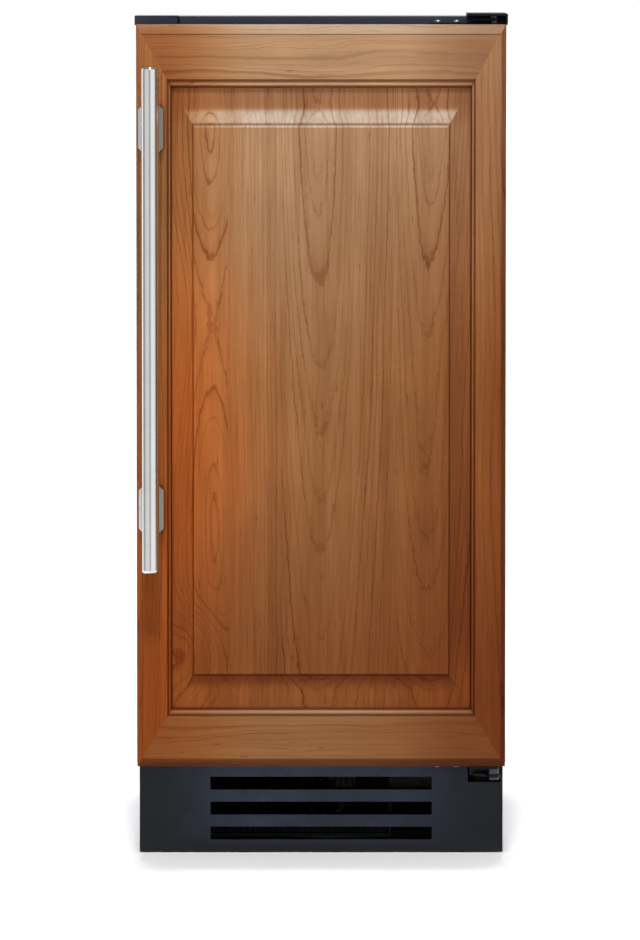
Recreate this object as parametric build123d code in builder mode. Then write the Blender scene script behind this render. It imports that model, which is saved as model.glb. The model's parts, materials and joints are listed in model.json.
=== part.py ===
from build123d import *
import math
import os

# Undercounter clear-ice maker with an insulated door, an overlay door panel of solid wood and a
# tubular handle.  +X is to the right seen from the front, -Y is the front, +Z is up.  The origin
# is on the floor, in the middle of the width and of the depth over the handle.  Heights are drawn
# for legs screwed out by FLOOR_Z, and save() lowers every piece by that much, so that the legs
# are screwed right in.

# ---------------------------------------------------------------- driving dimensions, mm
CABINET_WIDTH = 378.0
CABINET_DEPTH = 550.0
FLOOR_Z = 5.0
OVERALL_HEIGHT = 857.0
DOOR_WIDTH = 372.0
DOOR_HEIGHT = 750.0
DOOR_BOTTOM = 98.6
CORE_THICKNESS = 28.5
SEAL_GAP = 10.5
PANEL_THICKNESS = 19.0
HANDLE_REACH = 45.0
SHEET = 1.2
CAVITY_WIDTH = 306.0
CAVITY_FLOOR = 175.0
CAVITY_SHELF = 245.0
CAVITY_TOP = 812.0
LINER = 2.5
FOAM_FLOOR = 30.0

# ---------------------------------------------------------------- places that follow from them
DEPTH_OVER_ALL = CABINET_DEPTH + SEAL_GAP + CORE_THICKNESS + PANEL_THICKNESS + HANDLE_REACH
BACK_Y = DEPTH_OVER_ALL / 2
FRONT_Y = BACK_Y - CABINET_DEPTH
DOOR_BACK_Y = FRONT_Y - SEAL_GAP
CORE_FRONT_Y = DOOR_BACK_Y - CORE_THICKNESS
FACE_Y = CORE_FRONT_Y - PANEL_THICKNESS
CAP_X = CABINET_WIDTH / 2
SIDE_X = CAP_X - 1.4
INNER_X = SIDE_X - SHEET
BASE_X = SIDE_X - 3.0
BASE_INNER_X = BASE_X - SHEET
JOGGLE_Z = 98.0
BODY_TOP = OVERALL_HEIGHT - 0.6
DOOR_X = DOOR_WIDTH / 2
DOOR_TOP = DOOR_BOTTOM + DOOR_HEIGHT
CAVITY_X = CAVITY_WIDTH / 2
LINER_X = CAVITY_X + LINER
BASE_Z = 10.0
BASE_SHEET = 1.6
BASE_TOP = BASE_Z + BASE_SHEET
FRAME_BACK_Y = FRONT_Y + 2.2
STEP_Y = 92.0
CAVITY_BACK_Y = 285.0
CEILING_FRONT = CAVITY_FLOOR - LINER - FOAM_FLOOR - 0.5
CEILING_REAR = CAVITY_SHELF - LINER - FOAM_FLOOR - 0.5
SERVICE_Y = BACK_Y - 20.0
HINGE_X = 175.0
HINGE_Y = FRONT_Y - 19.5
PAST = 1.0  # how far a cut runs past the faces that it opens
PIN_FIT = 0.06

os.makedirs("parts", exist_ok=True)


def save(piece, name):
    """Set a finished piece down on the floor, label it and write it as its own STEP file."""
    placed = piece.part.moved(Location((0, 0, -FLOOR_Z)))
    placed.label = name
    export_step(placed, f"parts/{name}.step")


def slab(low, high, mode=Mode.ADD):
    """A box between two opposite corners."""
    middle = tuple((a + b) / 2 for a, b in zip(low, high))
    with Locations(middle):
        Box(*(b - a for a, b in zip(low, high)), mode=mode)


def rod(start, radius, length, axis="Z", mode=Mode.ADD):
    """A cylinder that starts at a point and runs along +X, +Y or +Z."""
    turn = {"X": (0, 90, 0), "Y": (-90, 0, 0), "Z": (0, 0, 0)}[axis]
    with Locations(Location(start, turn)):
        Cylinder(radius, length, align=(Align.CENTER, Align.CENTER, Align.MIN), mode=mode)


# ================================================================ cabinet shell
def between(x_a, x_b, z_low, z_high):
    """A sheet as deep as the cabinet between two widths and two heights."""
    slab((min(x_a, x_b), FRONT_Y, z_low), (max(x_a, x_b), BACK_Y, z_high))


def make_side_panels():
    """Two sheets, each stepped inward below the door, where the machine compartment is narrower."""
    upper_top = BODY_TOP - SHEET
    with BuildPart() as side_panels:
        for side in (-1, 1):
            between(side * INNER_X, side * SIDE_X, JOGGLE_Z - SHEET, upper_top)
            between(side * BASE_INNER_X, side * SIDE_X, JOGGLE_Z - SHEET, JOGGLE_Z)
            between(side * BASE_INNER_X, side * BASE_X, BASE_Z, JOGGLE_Z)
    save(side_panels, "side_panels")


def make_top_panel():
    """Cap over the cabinet, with a short flange down each side."""
    flange = 9.0
    with BuildPart() as top_panel:
        between(-CAP_X, CAP_X, BODY_TOP - SHEET, BODY_TOP)
        for side in (-1, 1):
            between(side * (CAP_X - SHEET), side * CAP_X, BODY_TOP - flange, BODY_TOP)
    save(top_panel, "top_panel")


def make_back_panel():
    """Upper back sheet, with a lip folded in over the machine compartment."""
    lip = 17.0
    inside = BACK_Y - SHEET
    bottom = CEILING_REAR - SHEET
    with BuildPart() as back_panel:
        slab((-INNER_X, inside, bottom), (INNER_X, BACK_Y, BODY_TOP - SHEET))
        slab((-INNER_X, inside - lip, bottom), (INNER_X, inside, CEILING_REAR))
    save(back_panel, "back_panel")


# Rear service panel: louvre slots high up, and three holes that the water inlet, the drain stub
# and the cord gland stand in.
INLET_AT = (118.0, 62.0)
INLET_RADIUS = 13.2
INLET_COLLAR = 16.0
DRAIN_AT = (-128.0, 44.0)
DRAIN_RADIUS = 8.0
DRAIN_COLLAR = 11.0
COLLAR_END = 1.5
STUB_END = 17.5
GLAND_AT = (128.0, 150.0)
GLAND_RADIUS = 9.0
HOLE_ROOM = 0.4
VENT_SIZE = (150.0, 8.0)
VENT_PITCH = 18.0
VENT_CENTRE = (-40.0, 165.0)
VENT_COUNT = 4


def make_service_panel():
    top = CEILING_REAR - SHEET
    with BuildPart() as service_panel:
        slab((-INNER_X, SERVICE_Y, JOGGLE_Z), (INNER_X, SERVICE_Y + SHEET, top))
        slab(
            (-BASE_INNER_X, SERVICE_Y, BASE_TOP),
            (BASE_INNER_X, SERVICE_Y + SHEET, JOGGLE_Z),
        )
        with BuildSketch(Plane.XZ.offset(-SERVICE_Y - SHEET)):
            with Locations(VENT_CENTRE):
                with GridLocations(0, VENT_PITCH, 1, VENT_COUNT):
                    SlotOverall(*VENT_SIZE)
            with Locations(INLET_AT):
                Circle(INLET_COLLAR + HOLE_ROOM)
            with Locations(DRAIN_AT):
                Circle(DRAIN_COLLAR + HOLE_ROOM)
            with Locations(GLAND_AT):
                Circle(GLAND_RADIUS + HOLE_ROOM)
        extrude(amount=SHEET, mode=Mode.SUBTRACT)
    save(service_panel, "service_panel")


LEG_X = 158.0
LEG_FRONT_Y = FRONT_Y + 72.0
LEG_REAR_Y = BACK_Y - 45.0
LEG_SHANK = 5.0
LEG_FIT = 0.06


def make_base_pan():
    front_lip_y = FRONT_Y + 9.0
    lip_top = 16.0
    with BuildPart() as base_pan:
        slab((-BASE_INNER_X, front_lip_y, BASE_Z), (BASE_INNER_X, SERVICE_Y + SHEET, BASE_TOP))
        slab(
            (-BASE_INNER_X, front_lip_y, BASE_TOP),
            (BASE_INNER_X, front_lip_y + BASE_SHEET, lip_top),
        )
        with Locations((0, (LEG_FRONT_Y + LEG_REAR_Y) / 2, BASE_Z)):
            with GridLocations(2 * LEG_X, LEG_REAR_Y - LEG_FRONT_Y, 2, 2):
                Cylinder(LEG_SHANK + LEG_FIT, 4 * BASE_SHEET, mode=Mode.SUBTRACT)
    save(base_pan, "base_pan")


def make_front_frame():
    with BuildPart() as front_frame:
        slab((-INNER_X, FRONT_Y, JOGGLE_Z), (INNER_X, FRAME_BACK_Y, BODY_TOP - SHEET))
        slab(
            (-LINER_X, FRONT_Y, CAVITY_FLOOR - LINER),
            (LINER_X, FRAME_BACK_Y, CAVITY_TOP + LINER),
            mode=Mode.SUBTRACT,
        )
    save(front_frame, "front_frame")


def stepped_outline(grow, front):
    """Corners of the cavity's side profile, grown outward, with its step over the compressor."""
    return [
        (front, CAVITY_FLOOR - grow),
        (STEP_Y - grow, CAVITY_FLOOR - grow),
        (STEP_Y - grow, CAVITY_SHELF - grow),
        (CAVITY_BACK_Y + grow, CAVITY_SHELF - grow),
        (CAVITY_BACK_Y + grow, CAVITY_TOP + grow),
        (front, CAVITY_TOP + grow),
    ]


DRAIN_HOLE = (0.0, 40.0)
DRAIN_TUBE = 9.0
LINE_HOLE = (128.0, 255.0)
LINE_HOLE_RADIUS = 13.0


def make_insulation():
    """Foam between the cabinet and the liner, bored for the bin's drain and the water lines."""
    ceiling_end = STEP_Y - LINER - FOAM_FLOOR
    bore = 2 * FOAM_FLOOR
    with BuildPart() as insulation:
        with BuildSketch(Plane.YZ):
            Polygon(
                (FRAME_BACK_Y, CEILING_FRONT),
                (ceiling_end, CEILING_FRONT),
                (ceiling_end, CEILING_REAR),
                (BACK_Y - SHEET, CEILING_REAR),
                (BACK_Y - SHEET, BODY_TOP - SHEET),
                (FRAME_BACK_Y, BODY_TOP - SHEET),
            )
        extrude(amount=INNER_X, both=True)
        with BuildSketch(Plane.YZ):
            Polygon(*stepped_outline(LINER, FRAME_BACK_Y))
        extrude(amount=LINER_X, both=True, mode=Mode.SUBTRACT)
        rod((*DRAIN_HOLE, CEILING_FRONT - PAST), DRAIN_TUBE + 0.5, bore, mode=Mode.SUBTRACT)
        rod((*LINE_HOLE, CEILING_REAR - PAST), LINE_HOLE_RADIUS, bore, mode=Mode.SUBTRACT)
    save(insulation, "insulation")


FLAP_Y = FRONT_Y + 33.5
FLAP_Z = 545.0
FLAP_PIN = 3.5
FLAP_LENGTH = 225.0
FLAP_HALF = 138.0
FLAP_PIN_HALF = 149.5
BOSS_X = 144.0


def make_inner_liner():
    """Moulded cavity wall, with a boss on each side that carries the flap's pin."""
    boss = 12.0
    bore = 4 * LINER
    with BuildPart() as inner_liner:
        with BuildSketch(Plane.YZ):
            Polygon(*stepped_outline(LINER, FRONT_Y))
        extrude(amount=LINER_X, both=True)
        with BuildSketch(Plane.YZ):
            Polygon(*stepped_outline(0, FRONT_Y))
        extrude(amount=CAVITY_X, both=True, mode=Mode.SUBTRACT)
        for near, far in ((-CAVITY_X, -BOSS_X), (BOSS_X, CAVITY_X)):
            slab((near, FLAP_Y - boss, FLAP_Z - boss), (far, FLAP_Y + boss, FLAP_Z + boss))
        pin_hole_half = FLAP_PIN_HALF + 0.5
        rod(
            (-pin_hole_half, FLAP_Y, FLAP_Z),
            FLAP_PIN + PIN_FIT,
            2 * pin_hole_half,
            "X",
            mode=Mode.SUBTRACT,
        )
        rod((*DRAIN_HOLE, CAVITY_FLOOR - bore / 2), DRAIN_TUBE + 0.2, bore, mode=Mode.SUBTRACT)
        rod((*LINE_HOLE, CAVITY_SHELF - bore / 2), LINE_HOLE_RADIUS, bore, mode=Mode.SUBTRACT)
    save(inner_liner, "inner_liner")


# ================================================================ hinge side and kick grille
BRACKET_WIDTH = 41.4
BRACKET_SHEET = 2.5
BRACKET_TOP = OVERALL_HEIGHT + 2.8
BRACKET_BEND = 2.3
PIVOT_PIN = 3.0
LOWER_PIN = 4.0
ARM_Z = 852.2
ARM_SHEET = 2.4
STRAP_HALF = 6.5
STRAP_SHEET = 2.0
STRAP_FROM = 109.0
STRAP_TO = 148.0
LOWER_ARM_Z = 84.0
LOWER_ARM_SHEET = 3.0
LOWER_ARM_HALF = 7.0
LOWER_HEAD = 5.5
LOWER_STRAP_Z = DOOR_BOTTOM - 5.8
PIN_HEAD = 4.6


def make_hinge_hole_cover():
    """Blanking cap over the unused hinge mounting, at the top left of the cabinet."""
    right = -CAP_X + 44.0
    front = FRONT_Y - 2.5
    bottom, shoulder = 832.0, OVERALL_HEIGHT - 9.0
    tab_bottom, tab_top = 850.0, 855.0
    with BuildPart() as hinge_hole_cover:
        slab((-SIDE_X, front, bottom), (right, FRONT_Y, shoulder))
        slab((-CAP_X, front, shoulder), (right, FRONT_Y, OVERALL_HEIGHT))
        slab((-CAP_X, FRONT_Y, BODY_TOP), (right, FRONT_Y + 40, OVERALL_HEIGHT))
        slab((right, FRONT_Y - 1.5, tab_bottom), (right + 2, FRONT_Y, tab_top))
    save(hinge_hole_cover, "hinge_hole_cover")


def add_upper_bracket(part):
    """Flange on the frame, plate over cabinet and door, and a wall at the plate's outer side."""
    left, right = CAP_X - BRACKET_WIDTH, CAP_X - 0.4
    front, back = FRONT_Y - 38.5, FRONT_Y + 45.0
    flange_bottom = 835.0
    wall, wall_front, wall_bottom = 2.2, HINGE_Y - 11.0, DOOR_TOP + 1.0
    cut_corner = 3.0
    under = BRACKET_TOP - BRACKET_SHEET
    slab((left, FRONT_Y - BRACKET_SHEET, flange_bottom), (SIDE_X, FRONT_Y, under))
    slab((left, FRONT_Y, BODY_TOP), (right, back, under))
    slab((left, front, under), (right, back, BRACKET_TOP))
    long_edges = part.edges().filter_by(Axis.Y).group_by(Axis.Z)[-1]
    fillet(long_edges.sort_by(Axis.X)[-1], BRACKET_BEND)
    slab((right - wall, wall_front, wall_bottom), (right, FRONT_Y - BRACKET_SHEET, under))
    front_corners = part.edges().filter_by(Axis.Z).group_by(Axis.Y)[0]
    chamfer(front_corners.sort_by(Axis.X)[0], cut_corner)
    rod((HINGE_X, HINGE_Y, under - PAST), PIVOT_PIN, BRACKET_SHEET + 2 * PAST, mode=Mode.SUBTRACT)


def add_lower_bracket():
    """Flange on the frame and a shelf with a round end under the door."""
    flange_x, flange_top = (151.0, 182.0), 124.0
    shelf_left, shelf_bend = 155.0, FRONT_Y - 10.0
    back = FRONT_Y - BRACKET_SHEET
    left, right = HINGE_X - LOWER_ARM_HALF, HINGE_X + LOWER_ARM_HALF
    slab((flange_x[0], back, LOWER_ARM_Z), (flange_x[1], FRONT_Y, flange_top))
    with BuildSketch(Plane.XY.offset(LOWER_ARM_Z)) as shelf:
        with BuildLine():
            Polyline(
                (left, HINGE_Y),
                (shelf_left, shelf_bend),
                (shelf_left, back),
                (right, back),
                (right, HINGE_Y),
            )
            ThreePointArc((right, HINGE_Y), (HINGE_X, HINGE_Y - LOWER_ARM_HALF), (left, HINGE_Y))
        make_face()
    extrude(shelf.sketch, amount=LOWER_ARM_SHEET)
    hole = LOWER_ARM_SHEET + 2 * PAST
    rod((HINGE_X, HINGE_Y, LOWER_ARM_Z - PAST), LOWER_PIN, hole, mode=Mode.SUBTRACT)


def make_hinge_brackets():
    """Upper box bracket and lower shelf bracket, both fixed to the cabinet's front frame."""
    with BuildPart() as hinge_brackets:
        add_upper_bracket(hinge_brackets)
        add_lower_bracket()
    save(hinge_brackets, "hinge_brackets")


def hinge_rod(bottom, top, radius):
    """A length of round metal on the door's axis."""
    rod((HINGE_X, HINGE_Y, bottom), radius, top - bottom)


def make_hinge_pins():
    room = 0.2
    head_bottom = DOOR_TOP + 0.4
    arm_top = ARM_Z + ARM_SHEET + room
    shelf_top = LOWER_ARM_Z + LOWER_ARM_SHEET
    collar_top = LOWER_STRAP_Z - room
    with BuildPart() as hinge_pins:
        # upper pin: shank through the bracket and the door's arm, head below it and nut above
        hinge_rod(head_bottom, BRACKET_TOP, PIVOT_PIN)
        hinge_rod(head_bottom, head_bottom + 3.0, PIN_HEAD)
        hinge_rod(arm_top, arm_top + 2.2, PIN_HEAD)
        # lower pin: head below the shelf, a collar that carries the door, and the journal
        hinge_rod(LOWER_ARM_Z - 2.5, LOWER_ARM_Z, LOWER_HEAD)
        hinge_rod(LOWER_ARM_Z, shelf_top, LOWER_PIN)
        hinge_rod(shelf_top, collar_top, LOWER_HEAD)
        hinge_rod(collar_top, LOWER_STRAP_Z + ARM_SHEET - room + 1.8, LOWER_PIN)
    save(hinge_pins, "hinge_pins")


def add_strap(edge, near, outward, pin_radius):
    """Plate on the door's top or bottom edge, cranked outward to a round end at its pivot."""
    far = near + outward * ARM_SHEET
    outer_edge = edge + outward * STRAP_SHEET
    crank_end = STRAP_TO + 6.0
    with BuildSketch(Plane.XZ.offset(-HINGE_Y - STRAP_HALF)) as profile:
        Polygon(
            (STRAP_FROM, edge),
            (STRAP_TO, edge),
            (crank_end, near),
            (HINGE_X, near),
            (HINGE_X, far),
            (crank_end - 1, far),
            (STRAP_TO - 1, outer_edge),
            (STRAP_FROM, outer_edge),
        )
    extrude(profile.sketch, amount=2 * STRAP_HALF)
    bottom = min(near, far)
    hole = ARM_SHEET + 2 * PAST
    rod((HINGE_X, HINGE_Y, bottom), STRAP_HALF, ARM_SHEET)
    rod((HINGE_X, HINGE_Y, bottom - PAST), pin_radius + PIN_FIT, hole, mode=Mode.SUBTRACT)


def make_hinge_straps():
    with BuildPart() as hinge_straps:
        add_strap(DOOR_TOP, ARM_Z, 1, PIVOT_PIN)
        add_strap(DOOR_BOTTOM, LOWER_STRAP_Z + ARM_SHEET, -1, LOWER_PIN)
    save(hinge_straps, "hinge_straps")


SCREW_SPACING = 19.0
SCREW_MIDDLE = 127.5


def make_hinge_strap_screws():
    """Four pan heads, two on each strap."""
    radius, height = 3.6, 2.2
    with BuildPart() as hinge_strap_screws:
        for x in (SCREW_MIDDLE - SCREW_SPACING / 2, SCREW_MIDDLE + SCREW_SPACING / 2):
            rod((x, HINGE_Y, DOOR_TOP + STRAP_SHEET), radius, height)
            rod((x, HINGE_Y, DOOR_BOTTOM - STRAP_SHEET - height), radius, height)
        outer_rims = hinge_strap_screws.edges().filter_by(GeomType.CIRCLE).group_by(Axis.Z)
        chamfer(outer_rims[0] + outer_rims[-1], 0.9)
    save(hinge_strap_screws, "hinge_strap_screws")


KICK_X = 185.0
KICK_BOTTOM = 6.0
KICK_TOP = 97.0
KICK_SHEET = 2.5
NOTCH_X = (149.5, 182.8)
NOTCH_BOTTOM = 77.0
SLOT_LENGTH = 225.6
SLOT_HEIGHT = 13.2
SLOT_PITCH = 25.6
SLOT_MIDDLE_Z = 50.2


def make_kick_grille():
    """Plate with three air slots, a return at each side and a notch for the lower hinge."""
    front = FRONT_Y - KICK_SHEET
    return_sheet, return_depth = 2.0, 8.0
    ledge = 1.5
    with BuildPart() as kick_grille:
        slab((-KICK_X, front, KICK_BOTTOM), (KICK_X, FRONT_Y, KICK_TOP))
        for side in (-1, 1):
            near, far = sorted((side * (BASE_INNER_X - return_sheet), side * BASE_INNER_X))
            slab(
                (near, FRONT_Y, KICK_BOTTOM + 6),
                (far, FRONT_Y + return_depth, NOTCH_BOTTOM - 2),
            )
        with BuildSketch(Plane.XZ.offset(-FRONT_Y)):
            with Locations((0, SLOT_MIDDLE_Z)):
                with GridLocations(0, SLOT_PITCH, 1, 3):
                    Rectangle(SLOT_LENGTH, SLOT_HEIGHT)
        extrude(amount=KICK_SHEET, mode=Mode.SUBTRACT)
        slab(
            (NOTCH_X[0], front - PAST, NOTCH_BOTTOM),
            (NOTCH_X[1], FRONT_Y + PAST, KICK_TOP + PAST),
            mode=Mode.SUBTRACT,
        )
        # ledge folded back along the bottom of the notch
        slab(
            (NOTCH_X[0], FRONT_Y, NOTCH_BOTTOM - ledge),
            (NOTCH_X[1] - 3, FRONT_Y + return_depth, NOTCH_BOTTOM),
        )
    save(kick_grille, "kick_grille")


def make_leg(name, x, y):
    """Levelling leg: glide, lock nut and shank that screws up through the base pan."""
    glide, nut = 18.0, 9.0
    nut_top, shank_top = BASE_Z - 0.3, 44.0
    with BuildPart() as leg:
        with BuildSketch(Plane.XZ.offset(-y)):
            with BuildLine():
                Polyline(
                    (x, FLOOR_Z),
                    (x + glide - 2, FLOOR_Z),
                    (x + glide, FLOOR_Z + 1),
                    (x + glide, FLOOR_Z + 2),
                    (x + nut, FLOOR_Z + 3),
                    (x + nut, nut_top),
                    (x + LEG_SHANK, nut_top),
                    (x + LEG_SHANK, shank_top - 1),
                    (x + LEG_SHANK - 1, shank_top),
                    (x, shank_top),
                    (x, FLOOR_Z),
                )
            make_face()
        revolve(axis=Axis((x, y, 0), (0, 0, 1)))
    save(leg, name)


# ================================================================ machine compartment
COMPRESSOR_AT = (-62.0, 212.0)
COMPRESSOR_HOLES = (132.0, 98.0)
MOUNT_PLATE = (152.0, 116.0)
MOUNT_PLATE_Z = (23.0, 26.0)
MOUNT_STUD = 3.8


def make_compressor():
    """Hermetic pot on a mounting plate, with its terminal box on the left."""
    x, y = COMPRESSOR_AT
    pot, pot_height, dome, sole = 60.0, 146.0, 34.0, 16.0
    weld_flange, weld_z, weld_height = 63.0, 92.0, 4.0
    half_x, half_y = MOUNT_PLATE[0] / 2, MOUNT_PLATE[1] / 2
    box_left, box_right, box_half, box_z = x - 78.0, x - 56.0, 24.0, (70.0, 122.0)
    with BuildPart() as compressor:
        rod((x, y, MOUNT_PLATE_Z[1]), pot, pot_height)
        rims = compressor.edges().filter_by(GeomType.CIRCLE).sort_by(Axis.Z)
        fillet(rims[-1], dome)
        fillet(rims[0], sole)
        rod((x, y, weld_z), weld_flange, weld_height)
        slab((x - half_x, y - half_y, MOUNT_PLATE_Z[0]), (x + half_x, y + half_y, MOUNT_PLATE_Z[1]))
        with Locations((x, y, MOUNT_PLATE_Z[0])):
            with GridLocations(*COMPRESSOR_HOLES, 2, 2):
                Cylinder(MOUNT_STUD + 0.2, 20, mode=Mode.SUBTRACT)
        slab((box_left, y - box_half, box_z[0]), (box_right, y + box_half, box_z[1]))
    save(compressor, "compressor")


def make_compressor_grommets():
    """Rubber feet, each with the stud that stands up through the mounting plate."""
    x, y = COMPRESSOR_AT
    foot, stud_height = 10.0, 20.0
    stands = (Align.CENTER, Align.CENTER, Align.MIN)
    with BuildPart() as compressor_grommets:
        with Locations((x, y, BASE_TOP)):
            with GridLocations(*COMPRESSOR_HOLES, 2, 2):
                Cylinder(foot, MOUNT_PLATE_Z[0] - BASE_TOP, align=stands)
                Cylinder(MOUNT_STUD, stud_height, align=stands)
    save(compressor_grommets, "compressor_grommets")


COIL_ROWS = (FRONT_Y + 30.0, FRONT_Y + 50.0)
COIL_PITCH = 26.0
COIL_LEVELS = [36.0 + COIL_PITCH * i for i in range(4)]
COIL_TUBE = 4.0
COIL_BEND = 12.0
FIN_SIZE = (38.0, 108.0)
FIN_X = (-112.0, 68.0)
FIN_COUNT = 31
FIN_SHEET = 0.6


def make_condenser_fins():
    pitch = (FIN_X[1] - FIN_X[0]) / (FIN_COUNT - 1)
    middle_y = sum(COIL_ROWS) / 2
    planes = [Plane.YZ.offset(FIN_X[0] + pitch * i) for i in range(FIN_COUNT)]
    with BuildPart() as condenser_fins:
        with BuildSketch(*planes):
            with Locations((middle_y, sum(COIL_LEVELS) / len(COIL_LEVELS))):
                Rectangle(*FIN_SIZE)
                with GridLocations(COIL_ROWS[1] - COIL_ROWS[0], COIL_PITCH, 2, len(COIL_LEVELS)):
                    Circle(COIL_TUBE + 0.05, mode=Mode.SUBTRACT)
        extrude(amount=FIN_SHEET)
    save(condenser_fins, "condenser_fins")


def make_condenser_tube():
    """Two serpentine rows through the fins."""
    left, right = FIN_X[0] - 12, FIN_X[1] + 14
    with BuildPart() as condenser_tube:
        for y in COIL_ROWS:
            points = []
            for i, z in enumerate(COIL_LEVELS):
                ends = (left, right) if i % 2 == 0 else (right, left)
                points += [(ends[0], y, z), (ends[1], y, z)]
            with BuildLine() as route:
                FilletPolyline(*points, radius=COIL_BEND)
            with BuildSketch(Plane(origin=points[0], z_dir=(1, 0, 0))):
                Circle(COIL_TUBE)
            sweep(path=route.wires()[0])
    save(condenser_tube, "condenser_tube")


FAN_AT = (-20.0, 76.0)
FAN_Y = FRONT_Y + 84.0
FAN_SHAFT = 3.0


def make_fan_shroud():
    """Shallow box with a round mouth, and three cranked legs behind it that carry the motor."""
    x, z = FAN_AT
    left, right, bottom, top = -112.0, 72.0, 14.0, 140.0
    front, depth, wall, web = FRONT_Y + 61.0, 12.0, 3.0, 2.5
    mouth = 55.0
    back = front + depth
    reach, leg_width, leg_sheet = 40.0, 6.0, 5.0
    with BuildPart() as fan_shroud:
        slab((left, front, bottom), (right, back, top))
        slab(
            (left + wall, front - PAST, bottom + wall),
            (right - wall, back - web, top - wall),
            mode=Mode.SUBTRACT,
        )
        rod((x, front - PAST, z), mouth, depth + 2 * PAST, "Y", mode=Mode.SUBTRACT)
        for turn in (0, 120, 240):
            with Locations(Location((x, back, z), (0, turn, 0))):
                with Locations((0, reach / 2, mouth + 3.5)):
                    Box(leg_width, reach, leg_sheet)
                with Locations((0, reach - leg_sheet / 2, 40.8)):
                    Box(leg_width, leg_sheet, 37)
    save(fan_shroud, "fan_shroud")


def make_fan_motor():
    x, z = FAN_AT
    can, can_start, can_length = 22.0, FAN_Y + 18.0, 38.0
    shaft_start = FAN_Y - 8.0
    with BuildPart() as fan_motor:
        rod((x, can_start, z), can, can_length, "Y")
        rod((x, shaft_start, z), FAN_SHAFT, can_start + 1 - shaft_start, "Y")
    save(fan_motor, "fan_motor")


def make_fan_blade():
    x, z = FAN_AT
    blades, pitch_angle = 5, 32.0
    hub, hub_start, hub_length = 15.0, FAN_Y - 9.0, 20.0
    chord, thickness, span = 26.0, 2.0, 38.0
    with BuildPart() as fan_blade:
        rod((x, hub_start, z), hub, hub_length, "Y")
        for i in range(blades):
            with Locations(Location((x, FAN_Y + 1, z), (0, 360 / blades * i, 0))):
                with Locations(Location((0, 0, hub - 2 + span / 2), (0, 0, pitch_angle))):
                    Box(chord, thickness, span)
        rod(
            (x, hub_start - PAST, z),
            FAN_SHAFT + 0.05,
            hub_length + 2 * PAST,
            "Y",
            mode=Mode.SUBTRACT,
        )
    save(fan_blade, "fan_blade")


def tube(points, radius, bend):
    """Bent pipe through the given points, added to the part being built."""
    with BuildLine(mode=Mode.PRIVATE) as route:
        FilletPolyline(*points, radius=bend)
    path = route.wires()[0]
    with BuildSketch(Plane(origin=points[0], z_dir=path % 0), mode=Mode.PRIVATE) as section:
        Circle(radius)
    sweep(section.sketch.faces(), path=path)


EVAPORATOR_X = 100.0
EVAPORATOR_Z = (560.0, 760.0)
EVAPORATOR_BACK_Y = 232.0
LINE_RADIUS = 3.2
LINE_BEND = 14.0


def evaporator_serpentine():
    """Corners of the tube that zigzags up the back of the ice grid."""
    reach, rise, runs = 85.0, 28.0, 7
    first_z = EVAPORATOR_Z[0] + 16.0
    coil_y = EVAPORATOR_BACK_Y + 4.0
    corners = []
    for i in range(runs):
        z = first_z + rise * i
        start, end = (reach, -reach) if i % 2 == 0 else (-reach, reach)
        corners += [(start, coil_y, z), (end, coil_y, z)]
    return corners


def make_refrigerant_tubes():
    """Discharge line, liquid line with its drier, suction line and the evaporator's serpentine."""
    x, y = COMPRESSOR_AT
    discharge_x, discharge_y, discharge_z = 86.0, 20.0, 110.0
    liquid_x, liquid_z, drier_start, drier_end = 104.0, 120.0, 80.0, 170.0
    drier = 10.0
    with BuildPart() as refrigerant_tubes:
        discharge = [
            (x + 62, y, discharge_z),
            (discharge_x, y, discharge_z),
            (discharge_x, discharge_y, discharge_z),
            (discharge_x, discharge_y, 70),
        ]
        tube(discharge, LINE_RADIUS, LINE_BEND)
        rod((discharge_x, discharge_y, 60), LINE_RADIUS, 12)
        rod(
            (liquid_x, COIL_ROWS[0], liquid_z),
            LINE_RADIUS,
            drier_start - COIL_ROWS[0],
            "Y",
        )
        rod((liquid_x, drier_start, liquid_z), drier, drier_end - drier_start, "Y")
        suction = [
            (liquid_x, drier_end, liquid_z),
            (liquid_x, drier_end + 80, liquid_z),
            (liquid_x, drier_end + 80, liquid_z + 70),
        ]
        tube(suction, LINE_RADIUS, LINE_BEND)
        tube(evaporator_serpentine(), 3.8, 13.9)
    save(refrigerant_tubes, "refrigerant_tubes")


def make_water_valve():
    """Solenoid valve behind the service panel, with its threaded hose inlet pointing back."""
    x, z = INLET_AT
    half_x, half_z = 18.0, 16.0
    front, back = SERVICE_Y - 34.0, SERVICE_Y - 4.0
    coil, coil_height = 13.0, 26.0
    with BuildPart() as water_valve:
        slab((x - half_x, front, z - half_z), (x + half_x, back, z + half_z))
        rod((x, back, z), INLET_COLLAR, SERVICE_Y + COLLAR_END - back, "Y")
        rod((x, SERVICE_Y, z), INLET_RADIUS, STUB_END, "Y")
        rod((x, SERVICE_Y - 3, z), 9.5, 24, "Y", mode=Mode.SUBTRACT)
        # solenoid coil on top, and the outlet at the left
        rod((x, SERVICE_Y - 20, z + half_z), coil, coil_height)
        rod((x - half_x - 12, SERVICE_Y - 20, z), 4, 12, "X")
    save(water_valve, "water_valve")


def make_drain_fitting():
    """Drain stub with a collar that seats in the service panel."""
    x, z = DRAIN_AT
    flange, inside = 6.0, 20.0
    with BuildPart() as drain_fitting:
        rod((x, SERVICE_Y - flange, z), DRAIN_COLLAR + 3, flange, "Y")
        rod((x, SERVICE_Y, z), DRAIN_COLLAR, COLLAR_END, "Y")
        rod((x, SERVICE_Y - inside, z), DRAIN_RADIUS, inside + STUB_END, "Y")
        bore_length = inside + STUB_END + 2 * PAST
        rod((x, SERVICE_Y - inside - PAST, z), 6, bore_length, "Y", mode=Mode.SUBTRACT)
    save(drain_fitting, "drain_fitting")


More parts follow.
